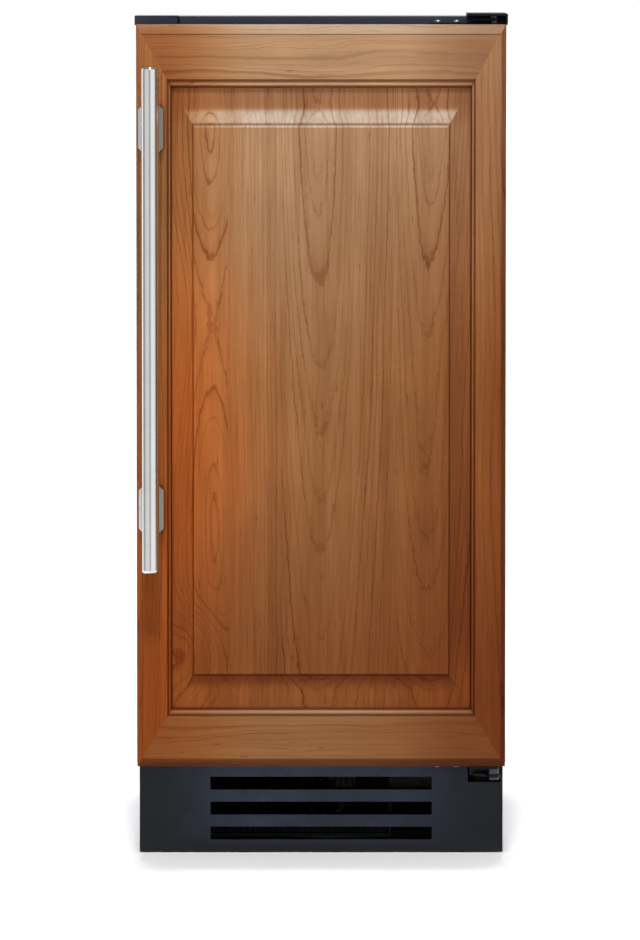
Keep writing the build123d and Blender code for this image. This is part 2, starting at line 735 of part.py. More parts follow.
def make_cord_gland():
    """Strain-relief gland with a hexagonal nut outside the service panel."""
    x, z = GLAND_AT
    inside, length, bore = 10.0, 24.0, 4.2
    with BuildPart() as cord_gland:
        rod((x, SERVICE_Y - inside, z), GLAND_RADIUS, length, "Y")
        with BuildSketch(Plane.XZ.offset(-SERVICE_Y)):
            with Locations((x, z)):
                RegularPolygon(13, 6)
        extrude(amount=5)
        hole_length = length + 2 * PAST
        rod((x, SERVICE_Y - inside - PAST, z), bore, hole_length, "Y", mode=Mode.SUBTRACT)
    save(cord_gland, "cord_gland")


# ================================================================ ice-making module
CHEEK_X = (111.0, 115.0)
CHEEK_TOP = 798.0
DISTRIBUTOR_Y = EVAPORATOR_BACK_Y - 12.0
DISTRIBUTOR_Z = 775.0
SLOT_STEP = 15.0
CURTAIN_Y = 190.0
CURTAIN_Z = 785.0
CURTAIN_LENGTH = 228.0
CURTAIN_PIN = 3.0
TROUGH_Y = (140.0, 250.0)
TROUGH_Z = (455.0, 508.0)


def make_evaporator_grid():
    """Nickel-plated plate with a grid of square ice cells facing forward."""
    cells = 8
    depth = 20.0
    wall = 1.2
    low_z, high_z = EVAPORATOR_Z
    pitch_x = (2 * EVAPORATOR_X - wall) / cells
    pitch_z = (high_z - low_z - wall) / cells
    with BuildPart() as evaporator_grid:
        slab(
            (-EVAPORATOR_X, EVAPORATOR_BACK_Y - depth, low_z),
            (EVAPORATOR_X, EVAPORATOR_BACK_Y, high_z),
        )
        with BuildSketch(Plane.XZ.offset(-EVAPORATOR_BACK_Y + depth)):
            with Locations((0, (low_z + high_z) / 2)):
                with GridLocations(pitch_x, pitch_z, cells, cells):
                    Rectangle(pitch_x - wall, pitch_z - wall)
        extrude(amount=-(depth - 2), mode=Mode.SUBTRACT)
        # side ears that reach the cheeks
        for side in (-1, 1):
            near, far = sorted((side * EVAPORATOR_X, side * CHEEK_X[0]))
            slab((near, EVAPORATOR_BACK_Y - 2, low_z), (far, EVAPORATOR_BACK_Y, high_z))
    save(evaporator_grid, "evaporator_grid")


def make_evaporator_cheeks():
    """Two moulded side walls that carry the evaporator, the distributor and the curtain."""
    with BuildPart() as evaporator_cheeks:
        for side in (-1, 1):
            near, far = sorted((side * CHEEK_X[0], side * CHEEK_X[1]))
            slab((near, CURTAIN_Y - 8, TROUGH_Z[1]), (far, CAVITY_BACK_Y, CHEEK_TOP))
        reach = CHEEK_X[1] + PAST
        rod((-reach, CURTAIN_Y, CURTAIN_Z), CURTAIN_PIN + PIN_FIT, 2 * reach, "X", mode=Mode.SUBTRACT)
    save(evaporator_cheeks, "evaporator_cheeks")


def make_water_distributor():
    """Tube with a row of jets below it that wets the ice grid."""
    radius, bore, cap, jet = 9.0, 7.0, 2.0, 1.2
    jets = 13
    half = CHEEK_X[0]
    with BuildPart() as water_distributor:
        rod((-half, DISTRIBUTOR_Y, DISTRIBUTOR_Z), radius, 2 * half, "X")
        rod(
            (-half + cap, DISTRIBUTOR_Y, DISTRIBUTOR_Z),
            bore,
            2 * (half - cap),
            "X",
            mode=Mode.SUBTRACT,
        )
        with Locations((0, DISTRIBUTOR_Y, DISTRIBUTOR_Z - (radius + bore) / 2)):
            with GridLocations(SLOT_STEP, 0, jets, 1):
                Cylinder(jet, 6, mode=Mode.SUBTRACT)
    save(water_distributor, "water_distributor")


def make_water_curtain():
    """Clear splash curtain that hangs in front of the ice cells and swings out as ice drops."""
    half, sheet = 106.0, 2.4
    spine, pin_half = 5.0, 114.5
    with BuildPart() as water_curtain:
        slab(
            (-half, CURTAIN_Y - sheet / 2, CURTAIN_Z - CURTAIN_LENGTH),
            (half, CURTAIN_Y + sheet / 2, CURTAIN_Z - spine + 1),
        )
        rod((-half, CURTAIN_Y, CURTAIN_Z), spine, 2 * half, "X")
        rod((-pin_half, CURTAIN_Y, CURTAIN_Z), CURTAIN_PIN, 2 * pin_half, "X")
    save(water_curtain, "water_curtain")


FLOAT_AT = (-134.0, 195.0)


def make_sump():
    """Open water trough below the evaporator, with a round float chamber on its left."""
    wall = 3.0
    half = CHEEK_X[1]
    chamber, chamber_bore, chamber_height = 17.0, 14.5, 48.0
    channel_x, channel_half, channel_height = -121.0, 6.0, 40.0
    floor, rim = TROUGH_Z
    x, y = FLOAT_AT
    with BuildPart() as sump:
        slab((-half, TROUGH_Y[0], floor), (half, TROUGH_Y[1], rim))
        slab(
            (-half + wall, TROUGH_Y[0] + wall, floor + wall),
            (half - wall, TROUGH_Y[1] - wall, rim + PAST),
            mode=Mode.SUBTRACT,
        )
        rod((x, y, floor), chamber, chamber_height)
        slab((channel_x, y - channel_half, floor), (-half + 1, y + channel_half, floor + channel_height))
        rod((x, y, floor + wall), chamber_bore, chamber_height, mode=Mode.SUBTRACT)
    save(sump, "sump")


def make_sump_float():
    """Float with the rod that rises past the chamber's rim."""
    body, body_height, stem, stem_height = 12.5, 20.0, 2.0, 40.0
    bottom = TROUGH_Z[0] + 3.2
    with BuildPart() as sump_float:
        rod((*FLOAT_AT, bottom), body, body_height)
        rod((*FLOAT_AT, bottom + body_height), stem, stem_height)
    save(sump_float, "sump_float")


def make_circulation_pump():
    """Pump beside the trough, its inlet, and the riser that feeds the distributor's right end."""
    x, y = 134.0, 175.0
    volute, volute_z, motor, motor_z, motor_top = 17.0, 470.0, 14.0, 494.0, 544.0
    riser, riser_y, riser_z = 4.0, y + 26.0, 478.0
    pipe_bottom, pipe_top = DISTRIBUTOR_Z - riser, DISTRIBUTOR_Z + riser
    with BuildPart() as circulation_pump:
        rod((x, y, volute_z), volute, motor_z - volute_z)
        rod((x, y, motor_z), motor, motor_top - motor_z)
        rod((CHEEK_X[1], y, volute_z + 12), 6, 8, "X")
        slab((x - riser, y + 10, riser_z - riser), (x + riser, riser_y, riser_z + riser))
        rod((x, riser_y, riser_z), riser, DISTRIBUTOR_Z - riser_z)
        slab((x - riser, riser_y - riser, pipe_bottom), (x + riser, DISTRIBUTOR_Y + riser, pipe_top))
        slab(
            (CHEEK_X[1], DISTRIBUTOR_Y - riser, pipe_bottom),
            (x, DISTRIBUTOR_Y + riser, pipe_top),
        )
    save(circulation_pump, "circulation_pump")


def make_ice_chute():
    """Slotted slide that turns falling ice forward and lets the water drop into the trough."""
    back, front = (EVAPORATOR_BACK_Y - 2, 550.0), (TROUGH_Y[0] + 2, 512.0)
    slope = math.degrees(math.atan2(back[1] - front[1], back[0] - front[0]))
    length = math.dist(back, front)
    middle = ((back[0] + front[0]) / 2, (back[1] + front[1]) / 2)
    width, sheet = 214.0, 3.0
    slots, slot_width, end_bar = 13, 7.0, 12.0
    with BuildPart() as ice_chute:
        with Locations(Location((0, *middle), (slope, 0, 0))):
            Box(width, length, sheet)
            with GridLocations(SLOT_STEP, 0, slots, 1):
                Box(slot_width, length - 2 * end_bar, sheet + 2 * PAST, mode=Mode.SUBTRACT)
    save(ice_chute, "ice_chute")


def make_bin_thermostat():
    """Sensing bulb along the right wall, held by two clips, that stops the machine when full."""
    x, z = 147.0, 400.0
    bulb, start, length = 4.0, -60.0, 110.0
    clip_width, clip_half = 8.0, 5.0
    with BuildPart() as bin_thermostat:
        rod((x, start, z), bulb, length, "Y")
        for y in (start + 15, start + 90):
            slab((x - 1, y, z - clip_half), (CAVITY_X, y + clip_width, z + clip_half))
    save(bin_thermostat, "bin_thermostat")


# ================================================================ controls
HOUSING_Y = FRONT_Y + 23.5
HOUSING_Z = (778.0, CAVITY_TOP)
HOUSING_X = 122.0
BUTTON_Z = 796.0
BUTTON_RADIUS = 7.5
BUTTONS = {"power_button": 50.0, "light_button": 74.0, "clean_button": 98.0}
DISPLAY_X = (-40.0, 20.0)
DISPLAY_Z = (787.0, 805.0)
LIGHT_X = 70.0
LIGHT_Y = (HOUSING_Y + 14.0, HOUSING_Y + 34.0)


def make_control_housing():
    """Hollow box under the cavity's ceiling, open for the buttons, the display and the light."""
    wall = 2.0
    depth = 50.0
    front, back = HOUSING_Y, HOUSING_Y + depth
    bottom, top = HOUSING_Z
    cut = wall + PAST
    with BuildPart() as control_housing:
        slab((-HOUSING_X, front, bottom), (HOUSING_X, back, top))
        slab(
            (-HOUSING_X + wall, front + wall, bottom + wall),
            (HOUSING_X - wall, back - wall, top - wall),
            mode=Mode.SUBTRACT,
        )
        for x in BUTTONS.values():
            hole = BUTTON_RADIUS + HOLE_ROOM
            rod((x, front - PAST, BUTTON_Z), hole, cut + PAST, "Y", mode=Mode.SUBTRACT)
        slab(
            (DISPLAY_X[0], front - PAST, DISPLAY_Z[0]),
            (DISPLAY_X[1], front + cut, DISPLAY_Z[1]),
            mode=Mode.SUBTRACT,
        )
        slab(
            (-LIGHT_X, LIGHT_Y[0], bottom - PAST),
            (LIGHT_X, LIGHT_Y[1], bottom + cut),
            mode=Mode.SUBTRACT,
        )
    save(control_housing, "control_housing")


def make_buttons():
    """Three round push buttons that stand 2 mm proud of the housing."""
    proud, length, soft_rim = 2.0, 8.0, 0.8
    for name, x in BUTTONS.items():
        with BuildPart() as button:
            rod((x, HOUSING_Y - proud, BUTTON_Z), BUTTON_RADIUS, length, "Y")
            front_rim = button.edges().filter_by(GeomType.CIRCLE).sort_by(Axis.Y)[0]
            fillet(front_rim, soft_rim)
        save(button, name)


def make_lenses():
    with BuildPart() as display_lens:
        slab(
            (DISPLAY_X[0], HOUSING_Y + 0.2, DISPLAY_Z[0]),
            (DISPLAY_X[1], HOUSING_Y + 1.8, DISPLAY_Z[1]),
        )
    save(display_lens, "display_lens")
    with BuildPart() as light_lens:
        slab((-LIGHT_X, LIGHT_Y[0], HOUSING_Z[0]), (LIGHT_X, LIGHT_Y[1], HOUSING_Z[0] + 1.8))
    save(light_lens, "light_lens")


# ================================================================ storage bin
def make_bin_drain():
    """Strainer in the bin's floor, on a tube that passes down through the foam."""
    x, y = DRAIN_HOLE
    strainer, strainer_height = 20.0, 2.0
    tube_bottom, wall = 128.0, 1.5
    holes, hole, hole_ring = 6, 1.4, 4.5
    with BuildPart() as bin_drain:
        rod((x, y, CAVITY_FLOOR), strainer, strainer_height)
        rod((x, y, tube_bottom), DRAIN_TUBE, CAVITY_FLOOR - tube_bottom)
        bore_length = CAVITY_FLOOR - tube_bottom + PAST
        rod((x, y, tube_bottom - PAST), DRAIN_TUBE - wall, bore_length, mode=Mode.SUBTRACT)
        with Locations((x, y, CAVITY_FLOOR + strainer_height / 2)):
            with PolarLocations(hole_ring, holes):
                Cylinder(hole, 2 * strainer_height, mode=Mode.SUBTRACT)
    save(bin_drain, "bin_drain")


def make_bin_dam():
    """Low fixed front wall that holds the ice in when the door is open."""
    front, back, top = FRONT_Y + 18.5, FRONT_Y + 22.5, 334.0
    with BuildPart() as bin_dam:
        slab((-CAVITY_X, front, CAVITY_FLOOR), (CAVITY_X, back, top))
        top_edges = bin_dam.edges().filter_by(Axis.X).group_by(Axis.Z)[-1]
        fillet(top_edges, 1.8)
    save(bin_dam, "bin_dam")


def make_bin_flap():
    """Clear flap above the dam, hung from two pins, that swings in for scooping."""
    sheet, spine = 3.0, 6.0
    with BuildPart() as bin_flap:
        slab(
            (-FLAP_HALF, FLAP_Y - sheet / 2, FLAP_Z - FLAP_LENGTH),
            (FLAP_HALF, FLAP_Y + sheet / 2, FLAP_Z),
        )
        rod((-FLAP_HALF, FLAP_Y, FLAP_Z), spine, 2 * FLAP_HALF, "X")
        rod((-FLAP_PIN_HALF, FLAP_Y, FLAP_Z), FLAP_PIN, 2 * FLAP_PIN_HALF, "X")
    save(bin_flap, "bin_flap")


SCOOP_AT = (-125.0, 0.0)
SCOOP_RADIUS = 21.0
SHELF_Z = 205.0
HOLDER_HALF = 30.0
HOLDER_SHEET = 3.0


def make_scoop():
    """Half-round scoop stored bowl down, with its handle up."""
    x, y = SCOOP_AT
    wall, bowl, cut_from = 2.0, 92.0, 4.0
    grip, grip_length, grip_rim = 7.5, 30.0, 3.0
    bottom = SHELF_Z + HOLDER_SHEET + 0.2
    with BuildPart() as scoop:
        rod((x, y, bottom), SCOOP_RADIUS, bowl)
        rod((x, y, bottom - PAST), SCOOP_RADIUS - wall, bowl - PAST, mode=Mode.SUBTRACT)
        slab(
            (x + cut_from, y - HOLDER_HALF, bottom - PAST),
            (x + HOLDER_HALF, y + HOLDER_HALF, bottom + bowl - wall),
            mode=Mode.SUBTRACT,
        )
        rod((x, y, bottom + bowl), grip, grip_length)
        fillet(scoop.edges().filter_by(GeomType.CIRCLE).sort_by(Axis.Z)[-1], grip_rim)
    save(scoop, "scoop")


def make_scoop_holder():
    """Open pocket screwed to the left wall."""
    x, y = SCOOP_AT
    sheet, pocket, back_height = HOLDER_SHEET, 25.0, 70.0
    inside = x + SCOOP_RADIUS + 1
    outside = inside + sheet
    low_y, high_y = y - HOLDER_HALF, y + HOLDER_HALF
    pocket_top = SHELF_Z + pocket
    with BuildPart() as scoop_holder:
        slab((-CAVITY_X, low_y, SHELF_Z), (-CAVITY_X + sheet, high_y, SHELF_Z + back_height))
        slab((-CAVITY_X, low_y, SHELF_Z), (outside, high_y, SHELF_Z + sheet))
        slab((-CAVITY_X, low_y, SHELF_Z), (outside, low_y + sheet, pocket_top))
        slab((-CAVITY_X, high_y - sheet, SHELF_Z), (outside, high_y, pocket_top))
        slab((inside, low_y, SHELF_Z), (outside, high_y, pocket_top))
    save(scoop_holder, "scoop_holder")


# ================================================================ insulated door
DOOR_SHEET = 1.0


def make_door_shell():
    """Folded steel tray that the foam and the liner fill."""
    inset = DOOR_SHEET
    with BuildPart() as door_shell:
        slab((-DOOR_X, CORE_FRONT_Y, DOOR_BOTTOM), (DOOR_X, DOOR_BACK_Y, DOOR_TOP))
        slab(
            (-DOOR_X + inset, CORE_FRONT_Y + inset, DOOR_BOTTOM + inset),
            (DOOR_X - inset, DOOR_BACK_Y + PAST, DOOR_TOP - inset),
            mode=Mode.SUBTRACT,
        )
    save(door_shell, "door_shell")


def make_door_insulation():
    inset = DOOR_SHEET
    with BuildPart() as door_insulation:
        slab(
            (-DOOR_X + inset, CORE_FRONT_Y + inset, DOOR_BOTTOM + inset),
            (DOOR_X - inset, DOOR_BACK_Y - LINER, DOOR_TOP - inset),
        )
    save(door_insulation, "door_insulation")


DYKE_X = 145.0
DYKE_Z = (184.0, 803.0)
DYKE_WIDTH = 14.0
DYKE_HEIGHT = 8.0


def make_door_liner():
    """Inner door skin with a raised dyke that stands inside the seal."""
    inset = DOOR_SHEET
    with BuildPart() as door_liner:
        slab(
            (-DOOR_X + inset, DOOR_BACK_Y - LINER, DOOR_BOTTOM + inset),
            (DOOR_X - inset, DOOR_BACK_Y, DOOR_TOP - inset),
        )
        slab((-DYKE_X, DOOR_BACK_Y, DYKE_Z[0]), (DYKE_X, DOOR_BACK_Y + DYKE_HEIGHT, DYKE_Z[1]))
        slab(
            (-DYKE_X + DYKE_WIDTH, DOOR_BACK_Y, DYKE_Z[0] + DYKE_WIDTH),
            (DYKE_X - DYKE_WIDTH, DOOR_BACK_Y + DYKE_HEIGHT, DYKE_Z[1] - DYKE_WIDTH),
            mode=Mode.SUBTRACT,
        )
    save(door_liner, "door_liner")


def make_door_gasket():
    """Magnetic seal: a ring half a millimetre clear of the frame when the door is closed."""
    outer_x, outer_z = 168.0, (159.0, 828.0)
    width = 14.0
    back = FRONT_Y - 0.5
    wide, high = 2 * outer_x, outer_z[1] - outer_z[0]
    groove_from, groove_width, groove_depth = DOOR_BACK_Y + 5.0, 2.0, 2.5
    with BuildPart() as door_gasket:
        slab((-outer_x, DOOR_BACK_Y, outer_z[0]), (outer_x, back, outer_z[1]))
        slab(
            (-outer_x + width, DOOR_BACK_Y, outer_z[0] + width),
            (outer_x - width, back, outer_z[1] - width),
            mode=Mode.SUBTRACT,
        )
        # groove between the bellows and the magnet strip
        with BuildSketch(Plane.XZ.offset(-groove_from)):
            with Locations((0, sum(outer_z) / 2)):
                Rectangle(wide, high)
                Rectangle(wide - 2 * groove_depth, high - 2 * groove_depth, mode=Mode.SUBTRACT)
        extrude(amount=groove_width, mode=Mode.SUBTRACT)
    save(door_gasket, "door_gasket")


# ================================================================ wooden overlay panel
# Every member has one depth profile.  Its width is scaled to the member, so the mitres run from
# the outer corner to the inner corner of the frame.
STILE_WIDTH = 35.5
TOP_RAIL_WIDTH = 64.0
BOTTOM_RAIL_WIDTH = 59.5
EDGE_SHARE = 0.145
FLAT_END_SHARE = 0.852
EDGE_DEPTH = 4.5
RIDGE_DEPTH = 0.3
FLAT_DEPTH = 1.0
BORDER_DEPTH = 9.4
TONGUE_THICKNESS = 6.0
TONGUE_REACH = 7.0
FIELD_DEPTH = 2.0
STEP_DEPTH = 3.4
FIELD_SIDE = 23.2
FIELD_TOP = 39.5
FIELD_BOTTOM = 36.5
COVE_START_SHARE = 0.44
COVE_END_SHARE = 0.93


def moulded_section(width):
    """Closed outline of a frame member: (distance from the outer edge, depth from the face)."""
    bevel, ridge = EDGE_SHARE * width, (EDGE_SHARE + 0.012) * width
    sticking = FLAT_END_SHARE * width
    bead = width - sticking
    fillet_depth, shoulder_depth, bead_depth = FLAT_DEPTH + 1.3, FLAT_DEPTH + 2.6, FLAT_DEPTH + 3.6
    with BuildLine() as outline:
        Line((0, PANEL_THICKNESS), (0, EDGE_DEPTH))
        # rounded outer edge, ridge and flat
        Spline((0, EDGE_DEPTH), (0.5 * bevel, 0.42 * EDGE_DEPTH), (bevel, RIDGE_DEPTH))
        Line((bevel, RIDGE_DEPTH), (ridge, FLAT_DEPTH))
        Line((ridge, FLAT_DEPTH), (sticking, FLAT_DEPTH))
        # sticking: quirk, hollow, shoulder and bead down to the panel
        Line((sticking, FLAT_DEPTH), (sticking + 0.06 * bead, fillet_depth))
        Spline(
            (sticking + 0.06 * bead, fillet_depth),
            (sticking + 0.25 * bead, fillet_depth - 0.1),
            (sticking + 0.42 * bead, shoulder_depth),
        )
        Line((sticking + 0.42 * bead, shoulder_depth), (sticking + 0.46 * bead, bead_depth))
        Spline(
            (sticking + 0.46 * bead, bead_depth),
            (sticking + 0.66 * bead, bead_depth + 1.6),
            (width, BORDER_DEPTH),
        )
        # groove in the inner edge that holds the panel's tongue, and the flat back
        Polyline(
            (width, BORDER_DEPTH),
            (width - TONGUE_REACH, BORDER_DEPTH),
            (width - TONGUE_REACH, BORDER_DEPTH + TONGUE_THICKNESS),
            (width, BORDER_DEPTH + TONGUE_THICKNESS),
            (width, PANEL_THICKNESS),
            (0, PANEL_THICKNESS),
        )
    return outline


def member_corners(name):
    """Corners of a frame member's face, from the outer edge of the door to its mitres."""
    left, right = -DOOR_X, DOOR_X
    inner_left, inner_right = left + STILE_WIDTH, right - STILE_WIDTH
    inner_top, inner_bottom = DOOR_TOP - TOP_RAIL_WIDTH, DOOR_BOTTOM + BOTTOM_RAIL_WIDTH
    top = [(left, DOOR_TOP), (right, DOOR_TOP)]
    bottom = [(left, DOOR_BOTTOM), (right, DOOR_BOTTOM)]
    inner_above = [(inner_left, inner_top), (inner_right, inner_top)]
    inner_below = [(inner_left, inner_bottom), (inner_right, inner_bottom)]
    return {
        "door_top_rail": [*top, inner_above[1], inner_above[0]],
        "door_bottom_rail": [*bottom, inner_below[1], inner_below[0]],
        "door_left_stile": [top[0], inner_above[0], inner_below[0], bottom[0]],
        "door_right_stile": [top[1], inner_above[1], inner_below[1], bottom[1]],
    }[name]


def make_frame_member(name, width, corner, inward, along, length):
    """Extrude a member's section along its edge of the door, then cut both mitres."""
    section_plane = Plane(origin=corner, x_dir=inward, z_dir=along)
    outline = moulded_section(width)
    faces_back = section_plane.y_dir.Y > 0
    with BuildPart() as member:
        with BuildSketch(section_plane):
            with BuildLine():
                add(outline.line)
            make_face()
            if not faces_back:
                mirror(about=Plane.XZ, mode=Mode.REPLACE)
        extrude(amount=length)
        with BuildSketch(Plane.XZ.offset(-CORE_FRONT_Y - PAST)):
            Polygon(*member_corners(name))
        extrude(amount=PANEL_THICKNESS + 2 * PAST, mode=Mode.INTERSECT)
    save(member, name)


def make_frame_members():
    top_left = (-DOOR_X, FACE_Y, DOOR_TOP)
    bottom_left = (-DOOR_X, FACE_Y, DOOR_BOTTOM)
    bottom_right = (DOOR_X, FACE_Y, DOOR_BOTTOM)
    right, up = (1, 0, 0), (0, 0, 1)
    make_frame_member("door_top_rail", TOP_RAIL_WIDTH, top_left, (0, 0, -1), right, DOOR_WIDTH)
    make_frame_member("door_bottom_rail", BOTTOM_RAIL_WIDTH, bottom_left, up, right, DOOR_WIDTH)
    make_frame_member("door_left_stile", STILE_WIDTH, bottom_left, right, up, DOOR_HEIGHT)
    make_frame_member("door_right_stile", STILE_WIDTH, bottom_right, (-1, 0, 0), up, DOOR_HEIGHT)


def make_door_raised_panel():
    """Tongue, flat border, hollow cove, small step and raised field, stacked as ruled lofts."""
    inner_x = DOOR_X - STILE_WIDTH
    top, bottom = DOOR_TOP - TOP_RAIL_WIDTH, DOOR_BOTTOM + BOTTOM_RAIL_WIDTH
    cove_steps = 6

    def ring(share, depth):
        """Plane and size of the panel's outline at a share of the way from frame to field."""
        low, high = bottom + share * FIELD_BOTTOM, top - share * FIELD_TOP
        place = Plane(origin=(0, FACE_Y + depth, (low + high) / 2), x_dir=(1, 0, 0), z_dir=(0, -1, 0))
        return place, 2 * (inner_x - share * FIELD_SIDE), high - low

    levels = []
    for i in range(cove_steps + 1):
        turn = i / cove_steps
        share = COVE_START_SHARE + (COVE_END_SHARE - COVE_START_SHARE) * turn
        rise = 0.25 * turn + 0.75 * turn * turn
        levels.append((share, BORDER_DEPTH - (BORDER_DEPTH - STEP_DEPTH) * rise))
    levels.append((COVE_END_SHARE + 0.015, FIELD_DEPTH + 0.2))
    levels.append((1.0, FIELD_DEPTH))
    with BuildPart() as door_raised_panel:
        slab(
            (-inner_x - TONGUE_REACH, FACE_Y + BORDER_DEPTH, bottom - TONGUE_REACH),
            (inner_x + TONGUE_REACH, FACE_Y + BORDER_DEPTH + TONGUE_THICKNESS, top + TONGUE_REACH),
        )
        for lower, upper in zip(levels, levels[1:]):
            for level in (lower, upper):
                place, wide, high = ring(*level)
                with BuildSketch(place):
                    Rectangle(wide, high)
            loft(ruled=True)
    save(door_raised_panel, "door_raised_panel")


# ================================================================ handle
HANDLE_X = -171.5
HANDLE_RADIUS = 8.75
HANDLE_LENGTH = 508.0
HANDLE_MIDDLE_Z = 552.2
BRACKET_SPACING = 384.0
FOOT_SIZE = (25.0, 48.6)
FOOT_CORNER = 5.0
HANDLE_Y = FACE_Y - HANDLE_REACH + HANDLE_RADIUS


def make_handle_tube():
    """Round bar, hollow inside, with closed and softly rounded ends."""
    wall, end_wall, rim = 1.5, 6.0, 2.6
    bottom = HANDLE_MIDDLE_Z - HANDLE_LENGTH / 2
    bore_length = HANDLE_LENGTH - 2 * end_wall
    with BuildPart() as handle_tube:
        rod((HANDLE_X, HANDLE_Y, bottom), HANDLE_RADIUS, HANDLE_LENGTH)
        fillet(handle_tube.edges().filter_by(GeomType.CIRCLE), rim)
        bore_start = (HANDLE_X, HANDLE_Y, bottom + end_wall)
        rod(bore_start, HANDLE_RADIUS - wall, bore_length, mode=Mode.SUBTRACT)
    save(handle_tube, "handle_tube")


def make_handle_brackets():
    """Two oblong feet with cut corners, each with a post that ends in a saddle for the bar."""
    plate = 7.0
    post_half_x, post_half_z = 6.0, 15.0
    seat = FACE_Y + RIDGE_DEPTH
    with BuildPart() as handle_brackets:
        for side in (-1, 1):
            z = HANDLE_MIDDLE_Z + side * BRACKET_SPACING / 2
            with BuildSketch(Plane.XZ.offset(-seat)) as foot_plates:
                with Locations((HANDLE_X, z)):
                    Rectangle(*FOOT_SIZE)
                chamfer(foot_plates.vertices(), FOOT_CORNER)
            extrude(amount=plate)
            slab(
                (HANDLE_X - post_half_x, HANDLE_Y, z - post_half_z),
                (HANDLE_X + post_half_x, seat - plate, z + post_half_z),
            )
        rod(
            (HANDLE_X, HANDLE_Y, HANDLE_MIDDLE_Z - HANDLE_LENGTH / 2),
            HANDLE_RADIUS,
            HANDLE_LENGTH,
            mode=Mode.SUBTRACT,
        )
    save(handle_brackets, "handle_brackets")


def main():
    make_side_panels()
    make_top_panel()
    make_back_panel()
    make_service_panel()
    make_base_pan()
    make_front_frame()
    make_insulation()
    make_inner_liner()
    make_hinge_hole_cover()
    make_hinge_brackets()
    make_hinge_pins()
    make_hinge_straps()
    make_hinge_strap_screws()
    make_kick_grille()
    make_leg("leg_front_left", -LEG_X, LEG_FRONT_Y)
    make_leg("leg_front_right", LEG_X, LEG_FRONT_Y)
    make_leg("leg_rear_left", -LEG_X, LEG_REAR_Y)
    make_leg("leg_rear_right", LEG_X, LEG_REAR_Y)
    make_compressor()
    make_compressor_grommets()
    make_condenser_fins()
    make_condenser_tube()
    make_fan_shroud()
    make_fan_motor()
    make_fan_blade()
    make_refrigerant_tubes()
    make_water_valve()
    make_drain_fitting()
    make_cord_gland()
    make_evaporator_grid()
    make_evaporator_cheeks()
    make_water_distributor()
    make_water_curtain()
    make_sump()
    make_sump_float()
    make_circulation_pump()
    make_ice_chute()
    make_bin_thermostat()
    make_control_housing()
    make_buttons()
    make_lenses()
    make_bin_drain()
    make_bin_dam()
    make_bin_flap()
    make_scoop()
    make_scoop_holder()
    make_door_shell()
    make_door_insulation()
    make_door_liner()
    make_door_gasket()
    make_frame_members()
    make_door_raised_panel()
    make_handle_tube()
    make_handle_brackets()


main()
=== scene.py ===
import json
import math
from collections import namedtuple

import bmesh
import bpy
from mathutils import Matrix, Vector


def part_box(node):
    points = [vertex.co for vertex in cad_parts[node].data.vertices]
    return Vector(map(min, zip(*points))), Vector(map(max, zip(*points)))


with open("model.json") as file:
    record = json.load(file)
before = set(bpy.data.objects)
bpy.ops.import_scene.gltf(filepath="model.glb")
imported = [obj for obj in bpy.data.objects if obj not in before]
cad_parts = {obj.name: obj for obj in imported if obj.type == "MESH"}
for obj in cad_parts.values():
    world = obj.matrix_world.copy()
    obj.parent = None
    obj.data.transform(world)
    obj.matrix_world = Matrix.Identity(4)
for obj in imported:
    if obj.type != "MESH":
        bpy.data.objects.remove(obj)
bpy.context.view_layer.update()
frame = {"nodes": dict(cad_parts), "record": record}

NODES = frame["nodes"]
SLOT_OF = {part["node"]: part["material_slot"] for part in frame["record"]["subparts"]}


# ---------------------------------------------------------------- camera
# the place, tilt and lens were fitted to the outlines of the door, the cabinet and the kick plate
LENS, SENSOR = 294.33, 36.0
CAMERA_PLACE = (-0.00116, -8.0209, 0.9344)
CAMERA_TILT = math.radians(86.011)
CLIP_END = 100.0


def make_camera():
    data = bpy.data.cameras.new("camera")
    data.lens = LENS
    data.sensor_width = SENSOR
    data.clip_end = CLIP_END
    camera = bpy.data.objects.new("camera", data)
    camera.location = CAMERA_PLACE
    camera.rotation_euler = (CAMERA_TILT, 0.0, 0.0)
    bpy.context.scene.collection.objects.link(camera)
    bpy.context.scene.camera = camera


